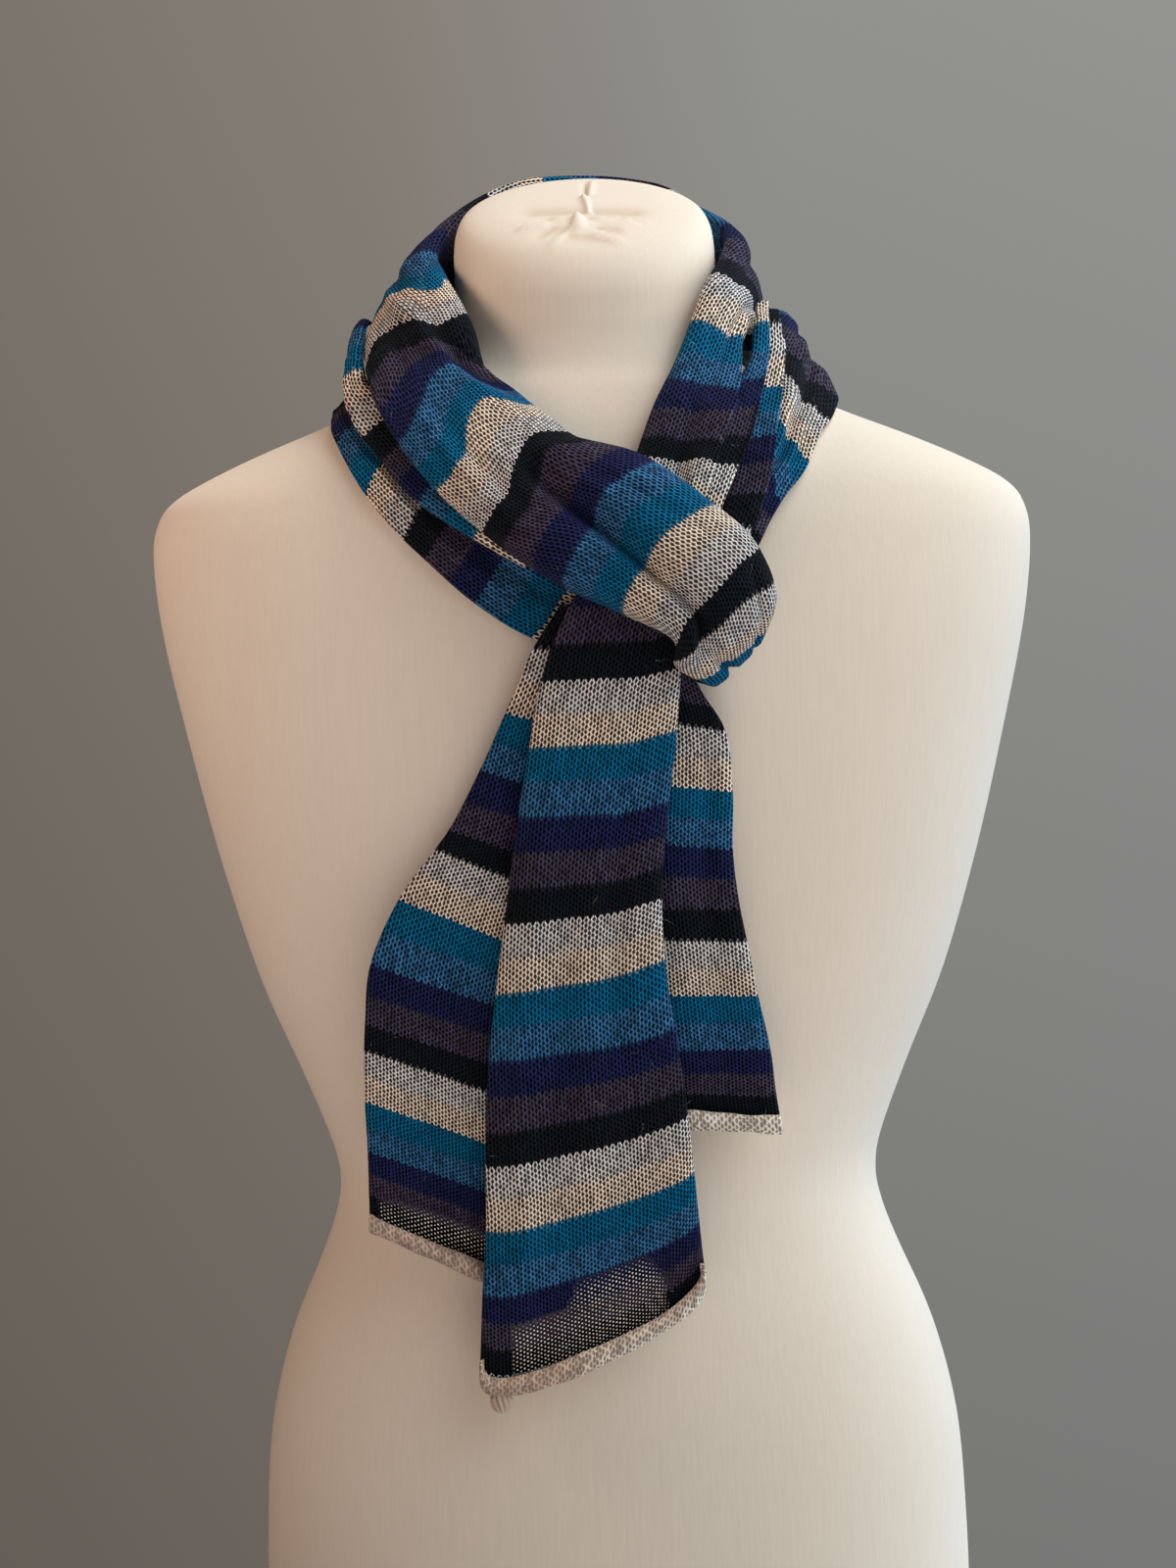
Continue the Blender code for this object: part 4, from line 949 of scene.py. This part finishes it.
# at which stripe the single, see-through knit begins, by place across the cloth, over how many stripes
# it comes, and where it ends
seeThrough = {
    "frontTail": [(-0.38, 72), (-0.33, 69.2), (-0.26, 68.2), (-0.17, 67.5), (0.03, 67.55), (0.07, 68.45),
                  (0.36, 68.55), (0.40, 72)],
    "backTailLeft": [(-0.5, 72), (-0.4, 69.0), (-0.1, 69.0), (0.3, 69.2), (0.58, 69.5), (0.66, 72)],
}
seeThroughFade, seeThroughEnd = 0.45, 71.3


def opennessOf(layer, courses, columns):
    if layer.name not in seeThrough:
        return np.zeros((len(courses), columns))
    stripe = (courses / scarf["coursesInStripe"])[:, None]
    starts = np.interp(np.linspace(-1, 1, columns), *np.array(seeThrough[layer.name]).T)[None, :]
    return np.clip((stripe - starts) / seeThroughFade, 0, 1) * (stripe < seeThroughEnd)


def addCloth(layer, sheet, normals, stitches, courses):
    points, faces = wallMesh(sheet, normals, scarf["wall"])
    piece = addPiece(layer.name, points, faces, knitMaterial, layer.node)
    mesh = piece.data
    mesh.materials.append(purlMaterial)
    corner = np.empty(len(mesh.loops), int)
    mesh.loops.foreach_get("vertex_index", corner)
    stitches = np.concatenate([stitches.reshape(-1, 2)] * 2)
    mesh.uv_layers.new(name="stitches").data.foreach_set("uv", stitches[corner].ravel())
    # the wrong side shows inside, and outside from where the hem rolls up
    rows, columns = sheet.shape[:2]
    faceCount = (rows - 1) * (columns - 1)
    firstCorner = np.empty(len(mesh.polygons), int)
    mesh.polygons.foreach_get("loop_start", firstCorner)
    stripe = np.abs(stitches[corner[firstCorner], 1]) / scarf["coursesInStripe"]
    wrongSide = (stripe > scarf["rollStripe"]).astype(int)
    wrongSide[faceCount:2 * faceCount] = 1
    mesh.polygons.foreach_set("material_index", wrongSide)
    keepValues(piece, "openness", np.concatenate([opennessOf(layer, courses, columns)] * 2))
    smooth = np.concatenate([normals.reshape(-1, 3), -normals.reshape(-1, 3)])
    mesh.normals_split_custom_set_from_vertices(smooth.tolist())


trees = {"dress_form": addForm()}
print("dress form made")
lifts = coarseLifts(trees)
print("layers stacked")
cloth = []
for name in strands:
    *grids, parts = fineStrand(name, lifts[name])
    for layer in layers:
        if layer.strand == name:
            sheet, normals, stitches, courses = [grid[parts[layer.name]] for grid in grids]
            addCloth(layer, sheet, normals, stitches, courses)
            cloth.append((sheet, normals))
print("cloth made")


knob = {
    "place": (-46.5, -106.5, 181.0),
    "size": (8.8, 7.8, 10.4),
    "rows": 40,
    "columns": 72,
    "ribs": 11,
    "ribDepth": 0.26,
    "twist": 0.35,
    "colour": (0.58, 0.45, 0.36, 1),
    # painted shade down in the furrows between the ribs
    "furrowShade": (0.30, 0.21, 0.15, 1),
}


def addKnob():
    # a corner of the rolled hem, wound into a ribbed lump
    steepest = math.pi / 2 - 0.02
    slope = np.linspace(-steepest, steepest, knob["rows"])[:, None]
    turn = roundTurn(knob["columns"])
    ridge = np.abs(np.cos((turn + slope * knob["twist"]) * knob["ribs"] / 2))
    rib = 1 + knob["ribDepth"] * (ridge - 0.6) * np.cos(slope)
    bead = 1 + 0.03 * np.sin(slope * 17 + turn * 3)
    reach = np.cos(slope) ** 0.8 * rib * bead
    height = np.broadcast_to(np.sin(slope), reach.shape)
    ball = np.stack([reach * np.cos(turn), reach * np.sin(turn), height], axis=-1)
    points = np.array(knob["place"]) + ball * np.array(knob["size"]) / 2
    material = makePlain("hemYarn", knob["colour"], 0.95, knob["furrowShade"])
    faces = gridFaces(knob["rows"], knob["columns"], loops=True)
    piece = addPiece("hemKnob", points.reshape(-1, 3), faces, material, "hem_knob")
    # painted shade: the furrows between the ribs are darkened
    keepValues(piece, "furrowShade", np.clip(1 - ridge * 1.7, 0, 1))


fibres = {
    "colour": (0.55, 0.54, 0.52, 1),
    "count": 420,
    "shortest": 2.0,
    "longest": 7.0,
    "thickness": 0.04,
    "thinner": 0.7,           # how much of that goes towards the tip
    "curl": 0.28,
    "segments": 5,
    "facets": 3,
    "between": (0.2, 0.8),    # across each stretch of cloth
    "seed": 5,
}


def addFibres():
    chooser = np.random.default_rng(fibres["seed"])
    sizes = np.array([sheet.shape[0] * sheet.shape[1] for sheet, _ in cloth], float)
    segments, facets = fibres["segments"], fibres["facets"]
    points, faces = [], []
    for _ in range(fibres["count"]):
        sheet, normals = cloth[chooser.choice(len(cloth), p=sizes / sizes.sum())]
        row = chooser.integers(0, sheet.shape[0])
        column = chooser.integers(*[int(sheet.shape[1] * share) for share in fibres["between"]])
        root, out = sheet[row, column], normals[row, column]
        heading = unit(out + chooser.normal(size=3) * 0.9)
        bend = unit(chooser.normal(size=3)) - heading * 0.2
        length = chooser.uniform(fibres["shortest"], fibres["longest"])
        place, step = root + out * scarf["wall"] * 0.3, length / segments
        faces += gridFaces(segments + 1, facets, len(points), loops=True)
        for segment in range(segments + 1):
            aside = unit(np.cross(heading, (0.31, 0.52, 0.79)))
            other = np.cross(heading, aside)
            radius = fibres["thickness"] * (1 - fibres["thinner"] * segment / segments)
            for turn in roundTurn(facets)[0]:
                points.append(place + (aside * math.cos(turn) + other * math.sin(turn)) * radius)
            heading = unit(heading + bend * fibres["curl"])
            place = place + heading * step
    addPiece("looseFibres", points, faces, makePlain("looseFibre", fibres["colour"], 0.9))


addKnob()
addFibres()
print("small details made")


floor = {
    "colour": (0.62, 0.61, 0.59, 1),
    "radius": 300.0,
    "thickness": 12.0,
    "drop": 0.3,              # below the form's base
    "edge": 4.0,              # how far it rounds over
    "rows": 6,
    "columns": 96,
}


def addFloor():
    level = np.linspace(0, 1, floor["rows"])[:, None]
    radius = floor["radius"] - floor["edge"] * (1 - np.sqrt(1 - (1 - level) ** 2 * 0.96)) * 0.5
    turn = roundTurn(floor["columns"])
    height = np.broadcast_to(-floor["thickness"] * level - floor["drop"], (floor["rows"], floor["columns"]))
    points = np.stack([radius * np.cos(turn), radius * np.sin(turn), height], axis=-1)
    faces = gridFaces(floor["rows"], floor["columns"], loops=True, flipped=True)
    addMesh("paleFloor", points.reshape(-1, 3), faces, makePlain("paleFloor", floor["colour"], 0.8))


room = {
    # the plain wall, as linear colours from its left to its right, and how bright it is low and high: painted
    # shade, darker to the left and below
    "wall": [(0.0, (0.060, 0.047, 0.037)), (0.40, (0.155, 0.135, 0.115)), (0.47, (0.195, 0.172, 0.150)),
             (0.53, (0.235, 0.236, 0.222)), (0.62, (0.250, 0.254, 0.244)), (1.0, (0.29, 0.30, 0.30))],
    "wallShade": (0.78, 1.22),
    "wallFades": (-0.225, 0.225),
    "wallStarts": (0.55, 0.8),
    "skylight": (5.2, 5.4, 5.4, 1),
    "bounce": (2.95, 2.56, 2.38, 1),
}


def addWorld():
    # the plain wall behind, and soft light from the upper right, with a little from below
    world = bpy.data.worlds.new("softRoom")
    world.use_nodes = True
    tree = world.node_tree
    right, back, up = parted(Signal(tree, addNode(tree, "TexCoord", {}).outputs["Generated"]))
    isWall = spread(back, *room["wallStarts"], smooth=True)
    notWall = 1.0 - isWall
    plainWall = ramp(spread(right, -1.0, 1.0), room["wall"])
    plainWall = shaded(plainWall, spread(up, *room["wallFades"], *room["wallShade"]))

    def towards(value):
        return maths(tree, "MAXIMUM", value, 0.0)

    total = shaded(plainWall, isWall)
    for light, share in ((room["skylight"], towards(up) * towards(right)),
                         (room["bounce"], towards(up * -1.0) * towards(back * -1.0))):
        total = blend(tree, 1.0, total, shaded(light, share * notWall), "ADD")
    # the camera itself sees the plain wall all round
    seen = Signal(tree, addNode(tree, "LightPath", {}).outputs["Is Camera Ray"])
    setInputs(tree, tree.nodes["Background"].inputs, {"Color": blend(tree, seen, total, plainWall)})
    bpy.context.scene.world = world


def addLight(name, place, aim, size, power, tint):
    data = bpy.data.lights.new(name, "AREA")
    data.shape, data.size, data.energy, data.color = "DISK", size, power, tint
    light = bpy.data.objects.new(name, data)
    light.location = place
    light.rotation_euler = (Vector(aim) - Vector(place)).to_track_quat("-Z", "Y").to_euler()
    bpy.context.scene.collection.objects.link(light)


addFloor()
addWorld()
chest = (0.0, -0.05, 0.45)
addLight("leftShoulder", (-0.85, -0.27, 0.98), chest, 0.4, 4.0, (1.0, 0.69, 0.51))
addLight("rightLow", (1.7, -0.9, 0.1), chest, 1.2, 3.4, (0.91, 1.0, 0.91))
addLight("topRightNear", (0.45, -0.15, 1.35), (0.05, 0.0, 0.66), 0.4, 3.2, (1.0, 0.97, 0.92))
addLight("rightBackLow", (1.4, 0.5, 0.3), chest, 1.0, 6.5, (0.1, 0.5, 1.0))
bpy.context.scene.view_settings.view_transform = "Standard"

view = {"place": (-0.0044, -1.5, 0.433), "roll": -1.5, "focalPixels": 3464.0, "imageHeight": 1600.0,
        "sensor": 36.0}
cameraData = bpy.data.cameras.new("photoView")
cameraData.sensor_fit = "AUTO"
cameraData.sensor_width = view["sensor"]
cameraData.lens = view["focalPixels"] / view["imageHeight"] * view["sensor"]
cameraData.clip_start = 0.05
camera = bpy.data.objects.new("photoView", cameraData)
upright = Matrix.Translation(view["place"]) @ Matrix.Rotation(math.radians(90), 4, "X")
camera.matrix_world = upright @ Matrix.Rotation(math.radians(view["roll"]), 4, "Z")
bpy.context.scene.collection.objects.link(camera)
bpy.context.scene.camera = camera
print("stage, light and camera set")
